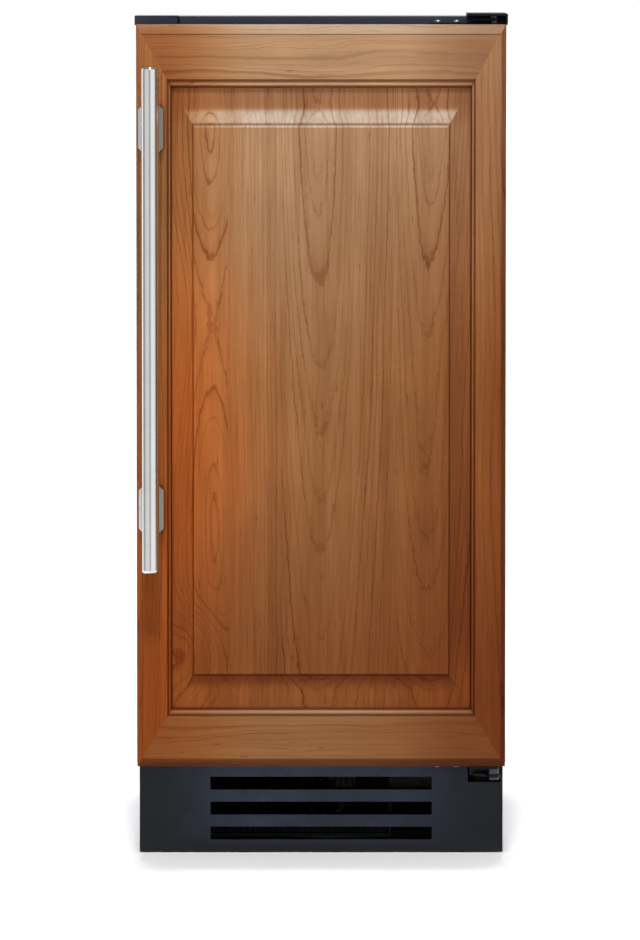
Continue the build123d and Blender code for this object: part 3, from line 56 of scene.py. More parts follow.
# ---------------------------------------------------------------- shader building
class Shader:
    """A node material on a Principled shader, built up on the object's own coordinates."""

    def __init__(self, name):
        self.material = bpy.data.materials.new(name)
        self.material.use_nodes = True
        self.tree = self.material.node_tree
        self.tree.nodes.clear()
        self.surface = self.node("ShaderNodeBsdfPrincipled")
        output = self.node("ShaderNodeOutputMaterial")
        self.tree.links.new(self.surface.outputs[0], output.inputs[0])
        self.place = self.node("ShaderNodeTexCoord").outputs["Object"]

    def node(self, kind, inputs=None, **settings):
        made = self.tree.nodes.new(kind)
        for key, value in settings.items():
            setattr(made, key, value)
        for socket, value in (inputs or {}).items():
            self.feed(made.inputs[socket], value)
        return made

    def feed(self, socket, value):
        if isinstance(value, bpy.types.NodeSocket):
            self.tree.links.new(value, socket)
        else:
            socket.default_value = value

    def set(self, **inputs):
        for name, value in inputs.items():
            self.feed(self.surface.inputs[name.replace("_", " ")], value)

    def math(self, operation, a, b=0.0, c=0.0):
        return self.node("ShaderNodeMath", {0: a, 1: b, 2: c}, operation=operation).outputs[0]

    def both(self, share, other):
        """One share of another."""
        return self.math("MULTIPLY", share, other)

    def split(self, vector):
        return self.node("ShaderNodeSeparateXYZ", {0: vector}).outputs

    def stretch(self, scale, place=None):
        """The object's coordinates, or other ones, scaled by axis."""
        kind = "ShaderNodeVectorMath"
        made = self.node(kind, {0: place or self.place, 1: scale}, operation="MULTIPLY")
        return made.outputs[0]

    def distance_from(self, point, scale):
        """Distance from a point, in coordinates stretched by axis."""
        kind = "ShaderNodeVectorMath"
        offset = self.node(kind, {0: self.place, 1: point}, operation="SUBTRACT").outputs[0]
        return self.node(kind, {0: self.stretch(scale, offset)}, operation="LENGTH").outputs[1]

    def noise(self, scale, detail=3.0, roughness=0.5, place=None):
        inputs = {
            "Vector": place or self.place, "Scale": scale, "Detail": detail, "Roughness": roughness,
        }
        return self.node("ShaderNodeTexNoise", inputs).outputs["Fac"]

    def cells(self, scale, place=None, output="Color"):
        inputs = {"Vector": place or self.place, "Scale": scale}
        return self.node("ShaderNodeTexVoronoi", inputs).outputs[output]

    def fit(self, value, low, high, to_low=0.0, to_high=1.0):
        """Smooth change from one range to another, clamped at its ends."""
        made = self.node(
            "ShaderNodeMapRange",
            {0: value, 1: low, 2: high, 3: to_low, 4: to_high},
            interpolation_type="SMOOTHSTEP",
        )
        return made.outputs[0]

    def share_of(self, value, low, high):
        """Even change from 0 to 1 between two values."""
        return self.node("ShaderNodeMapRange", {0: value, 1: low, 2: high}).outputs[0]

    def ramp(self, value, *stops):
        """Colours or greys at places from 0 to 1."""
        made = self.node("ShaderNodeValToRGB", {0: value})
        elements = made.color_ramp.elements
        while len(elements) < len(stops):
            elements.new(0.5)
        for element, (position, colour) in zip(elements, stops):
            element.position = position
            element.color = (*colour, 1.0) if isinstance(colour, tuple) else (*(colour,) * 3, 1.0)
        return made.outputs[0]

    def mix(self, share, a, b, blend="MIX"):
        inputs = {0: share}
        for index, value in ((6, a), (7, b)):
            inputs[index] = (*value, 1.0) if isinstance(value, tuple) else value
        made = self.node("ShaderNodeMix", inputs, data_type="RGBA", blend_type=blend)
        return made.outputs[2]

    def shade(self, colour, *layers):
        """The colour, multiplied by each layer's factors in that layer's share."""
        for share, factors in layers:
            colour = self.mix(share, colour, self.mix(1.0, colour, factors, "MULTIPLY"))
        return colour

    def round_edges(self, radius):
        """Normals of edges that are broken by a small radius."""
        return self.node("ShaderNodeBevel", {0: radius}, samples=4).outputs[0]

    def bump(self, height, distance, normal=None, strength=1.0):
        inputs = {"Height": height, "Distance": distance, "Strength": strength}
        if normal is not None:
            inputs["Normal"] = normal
        return self.node("ShaderNodeBump", inputs).outputs[0]

    def true_normal(self):
        return self.node("ShaderNodeNewGeometry").outputs["True Normal"]

    def edges(self, rounded):
        """About 0 on flat faces, rising to 1 along edges."""
        inputs = {0: rounded, 1: self.true_normal()}
        facing = self.node("ShaderNodeVectorMath", inputs, operation="DOT_PRODUCT").outputs[1]
        return self.fit(facing, 0.99, 0.8)


def srgb(red, green, blue):
    """A linear colour from the 0 to 255 levels of a screen colour."""
    levels = (level / 255.0 for level in (red, green, blue))
    return tuple(
        level / 12.92 if level <= 0.04045 else ((level + 0.055) / 1.055) ** 2.4 for level in levels
    )


# ---------------------------------------------------------------- the door's measures
X, Z = 0, 2


def span(node, axis):
    low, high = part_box(node)
    return high[axis] - low[axis]


# depths run inward from a hair before the door's face
HAIR = 0.0003
FACE_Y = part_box("door_top_rail")[0].y - HAIR
DOOR_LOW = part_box("door_bottom_rail")[0].z
DOOR_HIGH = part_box("door_top_rail")[1].z
DOOR_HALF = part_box("door_right_stile")[1].x

# ---------------------------------------------------------------- wood, as it grew
# a board's pith lies under the face, as deep as base, slope along the board and a slow wave say;
# until is where the next board begins
Board = namedtuple("Board", "pith base slope wave until", defaults=(None,))
WAVE_LOW, WAVE_LENGTH = 0.333, 0.42
SWAY = 0.022
PANEL_BOARDS = (
    Board(pith=-0.112, base=0.002, slope=0.0, wave=0.024, until=-0.094),
    Board(pith=-0.175, base=0.03, slope=0.01, wave=0.0, until=-0.04),
    Board(pith=-0.002, base=0.0592, slope=-0.066, wave=0.0, until=0.0765),
    Board(pith=0.11, base=0.054, slope=-0.06, wave=0.004),
)
TOP_BOARD = Board(pith=0.08, base=0.02, slope=-0.12, wave=0.014)
BOTTOM_BOARD = Board(pith=0.79, base=0.05, slope=0.11, wave=0.012)
LEFT_BOARD = Board(pith=-0.212, base=0.03, slope=-0.04, wave=0.004)
RIGHT_BOARD = Board(pith=0.232, base=0.05, slope=-0.03, wave=0.006)

# a knot low in the panel lifts the pith towards the face
KNOT_PLACE = (-0.131, FACE_Y, 0.212)
KNOT_SHAPE = (1.0, 1.0, 0.62)
KNOT_REACH, KNOT_LIFT = 0.05, 0.03

# how the grain lies, how wide its rings are, how far they wander, how plain its streaks are
Habit = namedtuple("Habit", "grain ring wander streaks")
UPRIGHT = Habit(grain="Z", ring=0.0042, wander=0.004, streaks=1.0)
LEVEL = Habit(grain="X", ring=0.00525, wander=0.028, streaks=0.55)
JAGS = 0.0024
RING_UNEVEN_SCALE, RING_UNEVENNESS = 75.0, 2.6
LATE_WOOD_STOPS = (
    (0.0, 0.5), (0.05, 0.1), (0.3, 0.0), (0.7, 0.05), (0.86, 0.3), (0.93, 1.0), (1.0, 1.0),
)

# ---------------------------------------------------------------- wood, as it was finished
# the stained colour from the door's foot to its top; its lightening towards the top is partly a
# painted falloff of light from above
STAIN_AND_LIGHT_FALLOFF_STOPS = (
    (0.0, srgb(126, 74, 33)),
    (0.15, srgb(128, 75, 35)),
    (0.52, srgb(150, 103, 61)),
    (0.88, srgb(175, 134, 96)),
    (1.0, srgb(182, 143, 106)),
)
# a painted pool of warm light on the wood, at the left of the door at mid height
GLOW_PLACE = (-0.13, FACE_Y, 0.44)
GLOW_SHAPE = (8.0, 1.0, 3.6)
GLOW_SHARE = 0.9

# where changes of colour start and end: across, in height, in depth and in how a face tips up
RIGHT_ACROSS = (0.0, 0.17)
LEFT_ACROSS = (-0.05, -0.16)
OUTER_ACROSS = (0.08, 0.17)
RAIL_ENDS_ACROSS = (0.06, 0.17)
LEFT_STILE_ACROSS = (-0.14, -0.16)
RIGHT_RIM_SHADE_ACROSS = (0.1808, 0.1824)
HIGHLIGHT_ACROSS = (-0.15, -0.06)
LOW_STILE_HEIGHT = (0.5, 0.18)
HIGH_STILE_HEIGHT = (0.62, 0.8)
LOW_SLOPE_HIGHLIGHT_HEIGHT = (0.24, 0.19)
TOP_RAIL_SHADOW_HEIGHT = (0.73, 0.77)
HIGHLIGHT_DEPTH = (0.0094, 0.0078)
SUNK_SHADE_DEPTH = (0.0046, 0.0092)
HIGHLIGHT_UPWARD = (0.03, 0.085)
UNDERSIDE_SHADE_UPWARD = (-0.1, -0.4)
# and as shares of the door's height
LOW_RIGHT_SHARE = (0.55, 0.95)
HIGH_OUTER_SHARE = (0.55, 0.92)

# what each part, mark, painted highlight or painted shade multiplies the colour by, in red, green
# and blue
LOW_RIGHT = (0.76, 0.57, 0.39)
LEFT = (1.1, 0.84, 0.52)
HIGH_OUTER = (0.82, 0.71, 0.64)
GLOW = (1.5, 1.12, 0.82)
STREAK = (0.84, 0.78, 0.72)
CLOUD = (1.2, 1.2, 1.18)
EXPOSED = (1.06, 1.06, 1.06)
RAIL_ENDS = (0.8, 0.75, 0.76)
LOW_LEFT = (1.7, 1.4, 1.1)
HIGH_LEFT = (1.35, 1.2, 1.08)
# painted shade on the right stile's right-facing outer bevel
RIGHT_RIM_SHADE = (0.58, 0.42, 0.32)
DARK_FIBRE = (0.78, 0.68, 0.58)
LIGHT_FIBRE = (1.14, 1.18, 1.22)
FLECK = (0.5, 0.33, 0.24)
LATE_WOOD = (0.56, 0.36, 0.24)
# painted highlight on faces that tip up, as if lit from above
FRAME_PAINTED_HIGHLIGHT = (1.02, 1.2, 1.42)
PANEL_PAINTED_HIGHLIGHT = (1.35, 1.9, 2.8)
# painted shade on faces that tip down, as if lit from above
FRAME_UNDERSIDE_SHADE = (0.5, 0.37, 0.3)
PANEL_UNDERSIDE_SHADE = (0.82, 0.68, 0.58)
# painted shade in the panel's recessed border
SUNK_SHADE = (0.96, 0.92, 0.9)
# a painted highlight on the panel's low slope, which faces up
LOW_SLOPE_HIGHLIGHT = (1.22, 1.28, 1.3)
# the top rail's painted shadow on the panel's border high up
TOP_RAIL_SHADOW = (0.8, 0.68, 0.58)
# a painted highlight along proud edges, partly wear; painted shade in recesses, partly stained
# colour gathered there
RUBBED_EDGE_HIGHLIGHT = (1.6, 1.75, 1.9)
RECESS_SHADE_AND_STAIN = (0.46, 0.26, 0.16)

# painted highlight and shade across a member's inner moulding, and down the step round the field
BEAD_HIGHLIGHT_AND_SHADE_BANDS = (
    (0.0, 1.0), (0.02, 1.2), (0.12, 0.48), (0.34, 0.5),
    (0.44, 1.4), (0.64, 1.4), (0.74, 0.4), (1.0, 0.38),
)
STEP_HIGHLIGHT_AND_SHADE_BANDS = ((0.0, 1.0), (0.06, 0.95), (0.12, 0.5), (0.7, 0.55), (1.0, 1.0))
STEP_TOP, STEP_FOOT = 0.002, 0.0047
FLAT_END_SHARE = 0.852
# a dark band loses more green than red, and more blue than green
BAND_POWERS = (0.85, 1.5, 2.0)
# a ramp holds no level above 1, so bands are stored at this share of their level
BAND_SHARE = 0.25

# each member's tint is partly a painted light level: the same wood made lighter or darker per
# member, as if each were lit differently
Member = namedtuple("Member", "boards habit bleach tint width", defaults=(None,))
MEMBERS = {
    "door_top_rail": Member(
        (TOP_BOARD,), LEVEL, FRAME_PAINTED_HIGHLIGHT, (0.91, 0.93, 0.97), span("door_top_rail", Z)
    ),
    "door_bottom_rail": Member(
        (BOTTOM_BOARD,), LEVEL, FRAME_PAINTED_HIGHLIGHT, (1.22, 1.66, 2.75), span("door_bottom_rail", Z)
    ),
    "door_left_stile": Member(
        (LEFT_BOARD,), UPRIGHT, FRAME_PAINTED_HIGHLIGHT, (0.64, 0.74, 0.94), span("door_left_stile", X)
    ),
    "door_right_stile": Member(
        (RIGHT_BOARD,), UPRIGHT, FRAME_PAINTED_HIGHLIGHT, (0.98, 1.0, 1.08), span("door_right_stile", X)
    ),
    "door_raised_panel": Member(PANEL_BOARDS, UPRIGHT, PANEL_PAINTED_HIGHLIGHT, (0.92, 0.96, 1.06)),
}


class Wood(Shader):
    """The wood of one member of the door."""

    def __init__(self, name, member):
        super().__init__(name)
        self.member = member
        self.habit = member.habit
        self.is_rail = self.habit.grain == "X"
        self.is_panel = member.width is None
        self.x, y, self.z = self.split(self.place)
        self.across, self.along = (self.z, self.x) if self.is_rail else (self.x, self.z)
        self.depth = self.math("SUBTRACT", y, FACE_Y)
        upward = self.split(self.true_normal())[2]
        # faces that tip down get painted shade
        self.facing_down_shade = self.fit(upward, *UNDERSIDE_SHADE_UPWARD)
        # faces that tip up near the door's face get a painted highlight, weaker towards the left
        facing_up_highlight = self.both(self.fit(upward, *HIGHLIGHT_UPWARD), self.fit(self.depth, *HIGHLIGHT_DEPTH))
        self.lighter_share = self.both(facing_up_highlight, self.fit(self.x, *HIGHLIGHT_ACROSS, 0.4, 1.0))

    def field(self, thin, long):
        """Coordinates scaled for marks that are narrow across the grain and long with it."""
        return self.stretch((long, thin, thin) if self.is_rail else (thin, thin, long))

    def of_board(self, key):
        """One of the boards' values, which changes where one board ends and the next begins."""
        levels = [getattr(board, key) for board in self.member.boards]
        total = levels[0]
        for board, before, after in zip(self.member.boards, levels, levels[1:]):
            past = self.math("GREATER_THAN", self.across, board.until)
            total = self.math("MULTIPLY_ADD", past, after - before, total)
        return total

    def pith_distance(self):
        sway = self.math("SUBTRACT", self.noise(1.0, 1.0, place=self.field(7.0, 1.7)), 0.5)
        lean = self.math("SUBTRACT", self.across, self.of_board("pith"))
        lean = self.math("MULTIPLY_ADD", sway, SWAY, lean)
        past_low = self.math("SUBTRACT", self.along, WAVE_LOW)
        turn = self.math("MULTIPLY", past_low, math.tau / WAVE_LENGTH)
        crest = self.math("MULTIPLY_ADD", self.math("COSINE", turn), -0.5, 0.5)
        below = self.math("MULTIPLY_ADD", self.of_board("wave"), crest, self.of_board("base"))
        below = self.math("MULTIPLY_ADD", self.of_board("slope"), self.along, below)
        below = self.math("ADD", below, self.depth)
        if self.is_panel:
            near_knot = self.fit(self.distance_from(KNOT_PLACE, KNOT_SHAPE), KNOT_REACH, 0.0)
            below = self.math("MULTIPLY_ADD", near_knot, KNOT_LIFT, below)
        squares = self.math("MULTIPLY_ADD", lean, lean, self.math("MULTIPLY", below, below))
        return self.math("SQRT", squares)

    def ring_lines(self):
        """Dark lines of late wood, stronger in some rings and some places than in others."""
        wander = self.math("SUBTRACT", self.noise(1.0, 2.0, place=self.field(26.0, 7.0)), 0.5)
        jags = self.math("SUBTRACT", self.noise(1.0, 2.0, 0.6, place=self.field(200.0, 90.0)), 0.5)
        distance = self.math("MULTIPLY_ADD", wander, self.habit.wander, self.pith_distance())
        distance = self.math("MULTIPLY_ADD", jags, JAGS, distance)
        inputs = {"W": distance, "Scale": RING_UNEVEN_SCALE, "Detail": 1.0}
        uneven = self.node("ShaderNodeTexNoise", inputs, noise_dimensions="1D").outputs[0]
        rings = self.math("DIVIDE", distance, self.habit.ring)
        rings = self.math("MULTIPLY_ADD", uneven, RING_UNEVENNESS, rings)
        number = {"W": self.math("FLOOR", rings)}
        chance = self.node("ShaderNodeTexWhiteNoise", number, noise_dimensions="1D").outputs[0]
        line = self.ramp(self.math("FRACT", rings), *LATE_WOOD_STOPS)
        kept = self.fit(self.noise(1.0, 2.0, place=self.field(30.0, 5.0)), 0.3, 0.7, 0.5, 1.0)
        return self.both(line, self.both(self.fit(chance, 0.0, 1.0, 0.2, 1.0), kept))

    def stain_and_painted_light(self):
        """Colour between the rings: lighter high up, partly a painted falloff of light from above;
        redder at the left, darker at the right, with a painted glow at the left.
        """
        height = self.share_of(self.z, DOOR_LOW, DOOR_HIGH)
        right = self.fit(self.x, *RIGHT_ACROSS)
        outer = self.fit(self.math("ABSOLUTE", self.x), *OUTER_ACROSS)
        glow = self.fit(self.distance_from(GLOW_PLACE, GLOW_SHAPE), 1.0, 0.0)
        streaks = self.noise(1.0, 3.0, 0.6, place=self.field(60.0, 2.4))
        clouds = self.noise(1.0, 2.0, place=self.field(14.0, 9.0))
        return self.shade(
            self.ramp(height, *STAIN_AND_LIGHT_FALLOFF_STOPS),
            (self.both(right, self.fit(height, *LOW_RIGHT_SHARE, 1.0, 0.0)), LOW_RIGHT),
            (self.fit(self.x, *LEFT_ACROSS), LEFT),
            (self.both(outer, self.fit(height, *HIGH_OUTER_SHARE)), HIGH_OUTER),
            # the painted pool of warm light
            (self.both(glow, GLOW_SHARE), GLOW),
            (self.fit(streaks, 0.35, 0.65, 0.0, self.habit.streaks), STREAK),
            (self.fit(clouds, 0.45, 0.75, 0.0, 0.5), CLOUD),
            (1.0, EXPOSED),
        )

    def own_shades(self, colour):
        """A rail is darker at its ends; the left stile is paler at its own; the right rim, whose
        bevel faces right, gets painted shade.
        """
        if self.is_panel:
            return colour
        if self.is_rail:
            ends = self.fit(self.math("ABSOLUTE", self.x), *RAIL_ENDS_ACROSS)
            return self.shade(colour, (ends, RAIL_ENDS))
        left = self.fit(self.x, *LEFT_STILE_ACROSS)
        return self.shade(
            colour,
            (self.both(left, self.fit(self.z, *LOW_STILE_HEIGHT)), LOW_LEFT),
            (self.both(left, self.fit(self.z, *HIGH_STILE_HEIGHT)), HIGH_LEFT),
            (self.fit(self.x, *RIGHT_RIM_SHADE_ACROSS), RIGHT_RIM_SHADE),
        )

    def marks(self, colour, fibre, line):
        cell = self.cells(1.0, place=self.field(120.0, 16.0), output="Distance")
        return self.shade(
            colour,
            (self.fit(fibre, 0.45, 0.7, 0.0, 0.6 * self.habit.streaks), DARK_FIBRE),
            (self.fit(fibre, 0.45, 0.3, 0.0, 0.55 * self.habit.streaks), LIGHT_FIBRE),
            (self.both(self.fit(cell, 0.1, 0.05), 0.6), FLECK),
            (line, LATE_WOOD),
            # the painted highlight on faces that tip up
            (self.lighter_share, self.member.bleach),
        )

    def banded(self, colour, value, low, high, bands):
        """The colour, lighter or darker in bands of a value between low and high."""
        stops = [
            (place, tuple(BAND_SHARE * level ** power for power in BAND_POWERS))
            for place, level in bands
        ]
        stored = self.ramp(self.share_of(value, low, high), *stops)
        tone = self.mix(1.0, stored, (1.0 / BAND_SHARE,) * 3, "MULTIPLY")
        return self.mix(1.0, colour, tone, "MULTIPLY")

    def from_outer_edge(self):
        """Distance in from the edge of the door that the member lies along."""
        if not self.is_rail:
            return self.math("SUBTRACT", DOOR_HALF, self.math("ABSOLUTE", self.x))
        from_low = self.math("SUBTRACT", self.z, DOOR_LOW)
        from_high = self.math("SUBTRACT", DOOR_HIGH, self.z)
        return self.math("MINIMUM", from_low, from_high)

    def frame_moulding(self, colour):
        """Painted shade in the quirks, painted highlight on the beads, and painted shade on the
        outer faces that tip down.
        """
        edge = self.from_outer_edge()
        flat_end = FLAT_END_SHARE * self.member.width
        colour = self.banded(colour, edge, flat_end, self.member.width, BEAD_HIGHLIGHT_AND_SHADE_BANDS)
        outside = self.math("LESS_THAN", edge, flat_end)
        return self.shade(colour, (self.both(self.facing_down_shade, outside), FRAME_UNDERSIDE_SHADE))

    def panel_moulding(self, colour):
        """Painted shade and highlight lines down the step round the raised field, painted shade on
        faces that tip down and in the recessed border, with a painted highlight low down and the
        top rail's painted shadow high up.
        """
        colour = self.banded(colour, self.depth, STEP_TOP, STEP_FOOT, STEP_HIGHLIGHT_AND_SHADE_BANDS)
        sunk_shade = self.both(self.fit(self.depth, *SUNK_SHADE_DEPTH), self.fit(self.lighter_share, 0.5, 0.0))
        return self.shade(
            colour,
            (self.facing_down_shade, PANEL_UNDERSIDE_SHADE),
            (sunk_shade, SUNK_SHADE),
            (self.both(sunk_shade, self.fit(self.z, *LOW_SLOPE_HIGHLIGHT_HEIGHT)), LOW_SLOPE_HIGHLIGHT),
            (self.both(sunk_shade, self.fit(self.z, *TOP_RAIL_SHADOW_HEIGHT)), TOP_RAIL_SHADOW),
        )

    def edge_highlight_and_recess_shade(self, colour, rounded):
        """Darker in the recesses, as painted shade and partly gathered colour, and lighter along
        the proud edges, as a painted highlight and partly wear.
        """
        inputs = {"Distance": 0.006}
        recess = self.node("ShaderNodeAmbientOcclusion", inputs, samples=6).outputs["AO"]
        rubbed_edge_highlight = self.both(self.edges(rounded), self.fit(recess, 0.7, 0.95))
        return self.shade(
            colour,
            (self.both(rubbed_edge_highlight, 0.8), RUBBED_EDGE_HIGHLIGHT),
            (self.fit(recess, 0.86, 0.5, 0.0, 0.95), RECESS_SHADE_AND_STAIN),
        )


def wood(name, member):
    """Stained hardwood: growth rings cut by the face, fibre, flecks and wear, with painted
    highlights on edges and upturned faces, painted shade in recesses, partly gathered colour, and
    on downturned faces, and a painted falloff and glow of light across the door.
    """
    shader = Wood(name, member)
    line = shader.ring_lines()
    fibre = shader.noise(1.0, 4.0, 0.7, place=shader.field(420.0, 14.0))
    rounded = shader.round_edges(0.0007)
    colour = shader.own_shades(shader.stain_and_painted_light())
    colour = shader.marks(colour, fibre, line)
    moulding = shader.panel_moulding if shader.is_panel else shader.frame_moulding
    colour = shader.edge_highlight_and_recess_shade(moulding(colour), rounded)
    relief = shader.math("MULTIPLY_ADD", line, -0.5, shader.math("MULTIPLY", fibre, 0.6))
    shader.set(
        Base_Color=shader.shade(colour, (1.0, member.tint)),
        Roughness=shader.fit(fibre, 0.3, 0.7, 0.4, 0.52),
        Normal=shader.bump(relief, 0.00012, rounded, 0.6),
        Specular_IOR_Level=0.06,
    )
    return shader.material


# ---------------------------------------------------------------- other finishes
EDGE_RADIUS = 0.0008
# edges are made lighter: a painted edge highlight, partly paint worn thin
EDGE_HIGHLIGHT_LEVEL, EDGE_HIGHLIGHT_SHARE, EDGE_HIGHLIGHT_LIFT = 1.25, 0.25, 0.01
PLAIN_ROUGH_RANGE = 0.1
PLAIN_COAT_ROUGHNESS = 0.12


def scaled(colour, factor, lift=0.0):
    """A colour made lighter or darker, with no level above 1."""
    return tuple(min(1.0, channel * factor + lift) for channel in colour)


def plain(
    name, colour, roughness, metallic=0.0, coat=0.0, grain=900.0, relief=0.00004, mottle=0.12,
    specular=0.5,
):
    """Moulded, painted or cast finish: mottled colour, uneven gloss, fine relief, and edges
    lightened as a painted highlight and partly as wear.
    """
    shader = Shader(name)
    broad = shader.noise(14.0, 4.0, 0.6)
    fine = shader.noise(grain, 2.0, 0.6)
    darker = scaled(colour, 1.0 - mottle)
    tone = shader.mix(shader.fit(broad, 0.3, 0.7), darker, scaled(colour, 1.0 + mottle))
    tone = shader.mix(shader.fit(fine, 0.35, 0.65, 0.0, 0.3), tone, darker)
    rounded = shader.round_edges(EDGE_RADIUS)
    rubbed_edge_highlight = scaled(colour, EDGE_HIGHLIGHT_LEVEL, EDGE_HIGHLIGHT_LIFT)
    tone = shader.mix(shader.both(shader.edges(rounded), EDGE_HIGHLIGHT_SHARE), tone, rubbed_edge_highlight)
    gloss = shader.noise(38.0, 3.0)
    shader.set(
        Base_Color=tone,
        Metallic=metallic,
        Roughness=shader.fit(gloss, 0.3, 0.7, roughness, roughness + PLAIN_ROUGH_RANGE),
        Normal=shader.bump(fine, relief, rounded),
        Specular_IOR_Level=specular,
        Coat_Weight=coat,
        Coat_Roughness=PLAIN_COAT_ROUGHNESS,
    )
    return shader.material


HANDLE_STEEL = (0.8, 0.795, 0.78)
# brush lines are this many times finer up the handle than across it
BRUSH_FINENESS = (1.0, 1.0, 12.0)


def handle_steel(name):
    """Polished stainless steel with brush lines round the tube and faint smears."""
    shader = Shader(name)
    lines = shader.noise(900.0, 3.0, 0.7, place=shader.stretch(BRUSH_FINENESS))
    smears = shader.noise(22.0, 3.0)
    tone = shader.mix(shader.fit(lines, 0.3, 0.7), scaled(HANDLE_STEEL, 0.86), HANDLE_STEEL)
    smeared = shader.fit(smears, 0.4, 0.75, 0.0, 0.25)
    shader.set(
        Base_Color=shader.mix(smeared, tone, scaled(HANDLE_STEEL, 0.8)),
        Metallic=1.0,
        Roughness=shader.fit(lines, 0.3, 0.7, 0.09, 0.19),
        Normal=shader.bump(lines, 0.000012, shader.round_edges(0.0006)),
    )
    return shader.material


def galvanised(name):
    """Zinc-coated sheet with its crystal spangle."""
    shader = Shader(name)
    crystal = shader.cells(70.0)
    level = shader.node("ShaderNodeSeparateColor", {0: crystal}).outputs[0]
    fine = shader.noise(600.0, 3.0)
    tone = shader.mix(level, (0.42, 0.43, 0.44), (0.6, 0.61, 0.62))
    tone = shader.mix(shader.fit(fine, 0.4, 0.8, 0.0, 0.4), tone, (0.35, 0.35, 0.36))
    shader.set(
        Base_Color=tone,
        Metallic=0.85,
        Roughness=shader.fit(level, 0.0, 1.0, 0.32, 0.5),
        Normal=shader.bump(fine, 0.00003, shader.round_edges(0.0006)),
    )
    return shader.material


CLEAR_TINT = (0.9, 0.95, 0.97)
ACRYLIC_IOR = 1.49


def clear_plastic(name):
    """Clear moulded plastic, with faint haze and flow marks."""
    shader = Shader(name)
    flow = shader.noise(9.0, 2.0, place=shader.stretch((1.0, 1.0, 3.0)))
    shader.set(
        Base_Color=shader.mix(flow, CLEAR_TINT, scaled(CLEAR_TINT, 1.06)),
        Transmission_Weight=0.92,
        IOR=ACRYLIC_IOR,
        Roughness=shader.fit(flow, 0.3, 0.7, 0.04, 0.09),
        Normal=shader.bump(flow, 0.0004),
    )
    return shader.material


# the blanking cap's right edge throws a dark line on the front of the top, a painted shadow in the
# gap
SEAM_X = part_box("hinge_hole_cover")[1].x - 0.0015
SEAM_EDGES = (0.0016, 0.0006)
SEAM_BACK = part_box("top_panel")[0].y + HAIR
SEAM_SHADOW = (0.004, 0.004, 0.006)
# the top is glossier towards its back
COAT_DEPTH = (-0.224, -0.05)


def cap_paint(name):
    """The cabinet's paint on its top, glossy at a low angle, with a painted shadow along the
    blanking cap's right edge.
    """
    shader = Shader(name)
    x, y, z = shader.split(shader.place)
    fine = shader.noise(1500.0, 2.0, 0.6)
    lighter_share = shader.fit(shader.noise(18.0, 4.0, 0.6), 0.3, 0.7)
    tone = shader.mix(lighter_share, srgb(50, 53, 68), srgb(57, 61, 75))
    tone = shader.mix(shader.fit(fine, 0.4, 0.7, 0.0, 0.3), tone, srgb(40, 43, 56))
    seam_shadow = shader.fit(shader.math("ABSOLUTE", shader.math("SUBTRACT", x, SEAM_X)), *SEAM_EDGES)
    seam_shadow = shader.both(seam_shadow, shader.math("LESS_THAN", y, SEAM_BACK))
    off_seam = shader.fit(seam_shadow, 0.0, 1.0, 1.0, 0.0)
    shader.set(
        Base_Color=shader.mix(seam_shadow, tone, SEAM_SHADOW),
        Roughness=shader.fit(fine, 0.3, 0.7, 0.4, 0.5),
        Normal=shader.bump(fine, 0.00002, shader.round_edges(0.0004)),
        Specular_IOR_Level=0.1,
        Coat_Weight=shader.both(off_seam, shader.fit(y, *COAT_DEPTH, 0.2, 1.0)),
        Coat_Roughness=0.06,
    )
    return shader.material


# a painted bluish reflection across the kick plate's centre, rising from its lower edge; painted
# shade at its right and along its lower edge
KICK_REFLECTION_ACROSS, KICK_RIGHT_SHADE_ACROSS = (0.19, 0.05), (0.02, 0.17)
KICK_REFLECTION_RISE, KICK_FOOT_SHADE = (0.004, 0.022), (0.02, 0.004)
KICK_SHADE = (0.6, 0.63, 0.76)


def kick_paint(name):
    """Dark textured paint, with a lighter painted bluish reflection across its centre, and painted
    shade at the right and along its lower edge.
    """
    shader = Shader(name)
    x, y, z = shader.split(shader.place)
    painted_reflection = shader.fit(shader.math("ABSOLUTE", x), *KICK_REFLECTION_ACROSS)
    painted_reflection = shader.both(painted_reflection, shader.fit(z, *KICK_REFLECTION_RISE))
    right, foot_shade = shader.fit(x, *KICK_RIGHT_SHADE_ACROSS), shader.fit(z, *KICK_FOOT_SHADE)
    painted_shade = shader.math("MAXIMUM", right, foot_shade)
    broad = shader.noise(14.0, 4.0, 0.6)
    fine = shader.noise(1500.0, 2.0, 0.6)
    tone = shader.mix(painted_reflection, srgb(26, 29, 36), srgb(60, 69, 90))
    tone = shader.shade(tone, (painted_shade, KICK_SHADE))
    tone = shader.mix(shader.fit(broad, 0.3, 0.7, 0.0, 0.5), tone, srgb(24, 26, 31))
    shader.set(
        Base_Color=shader.mix(shader.fit(fine, 0.4, 0.7, 0.0, 0.4), tone, srgb(18, 20, 25)),
        Roughness=shader.fit(fine, 0.3, 0.7, 0.42, 0.55),
        Normal=shader.bump(fine, 0.00006, shader.round_edges(0.0006)),
        Specular_IOR_Level=0.2,
    )
    return shader.material


# the inner side's darker colour is a painted shadow of the handle tube
BRACKET_OUTER, BRACKET_SHADOWED = (0.8, 0.79, 0.79), (0.36, 0.35, 0.31)
BRACKET_SHADOW_ACROSS = (-0.176, -0.166)
BRACKET_LINES = (0.86, 0.86, 0.85)


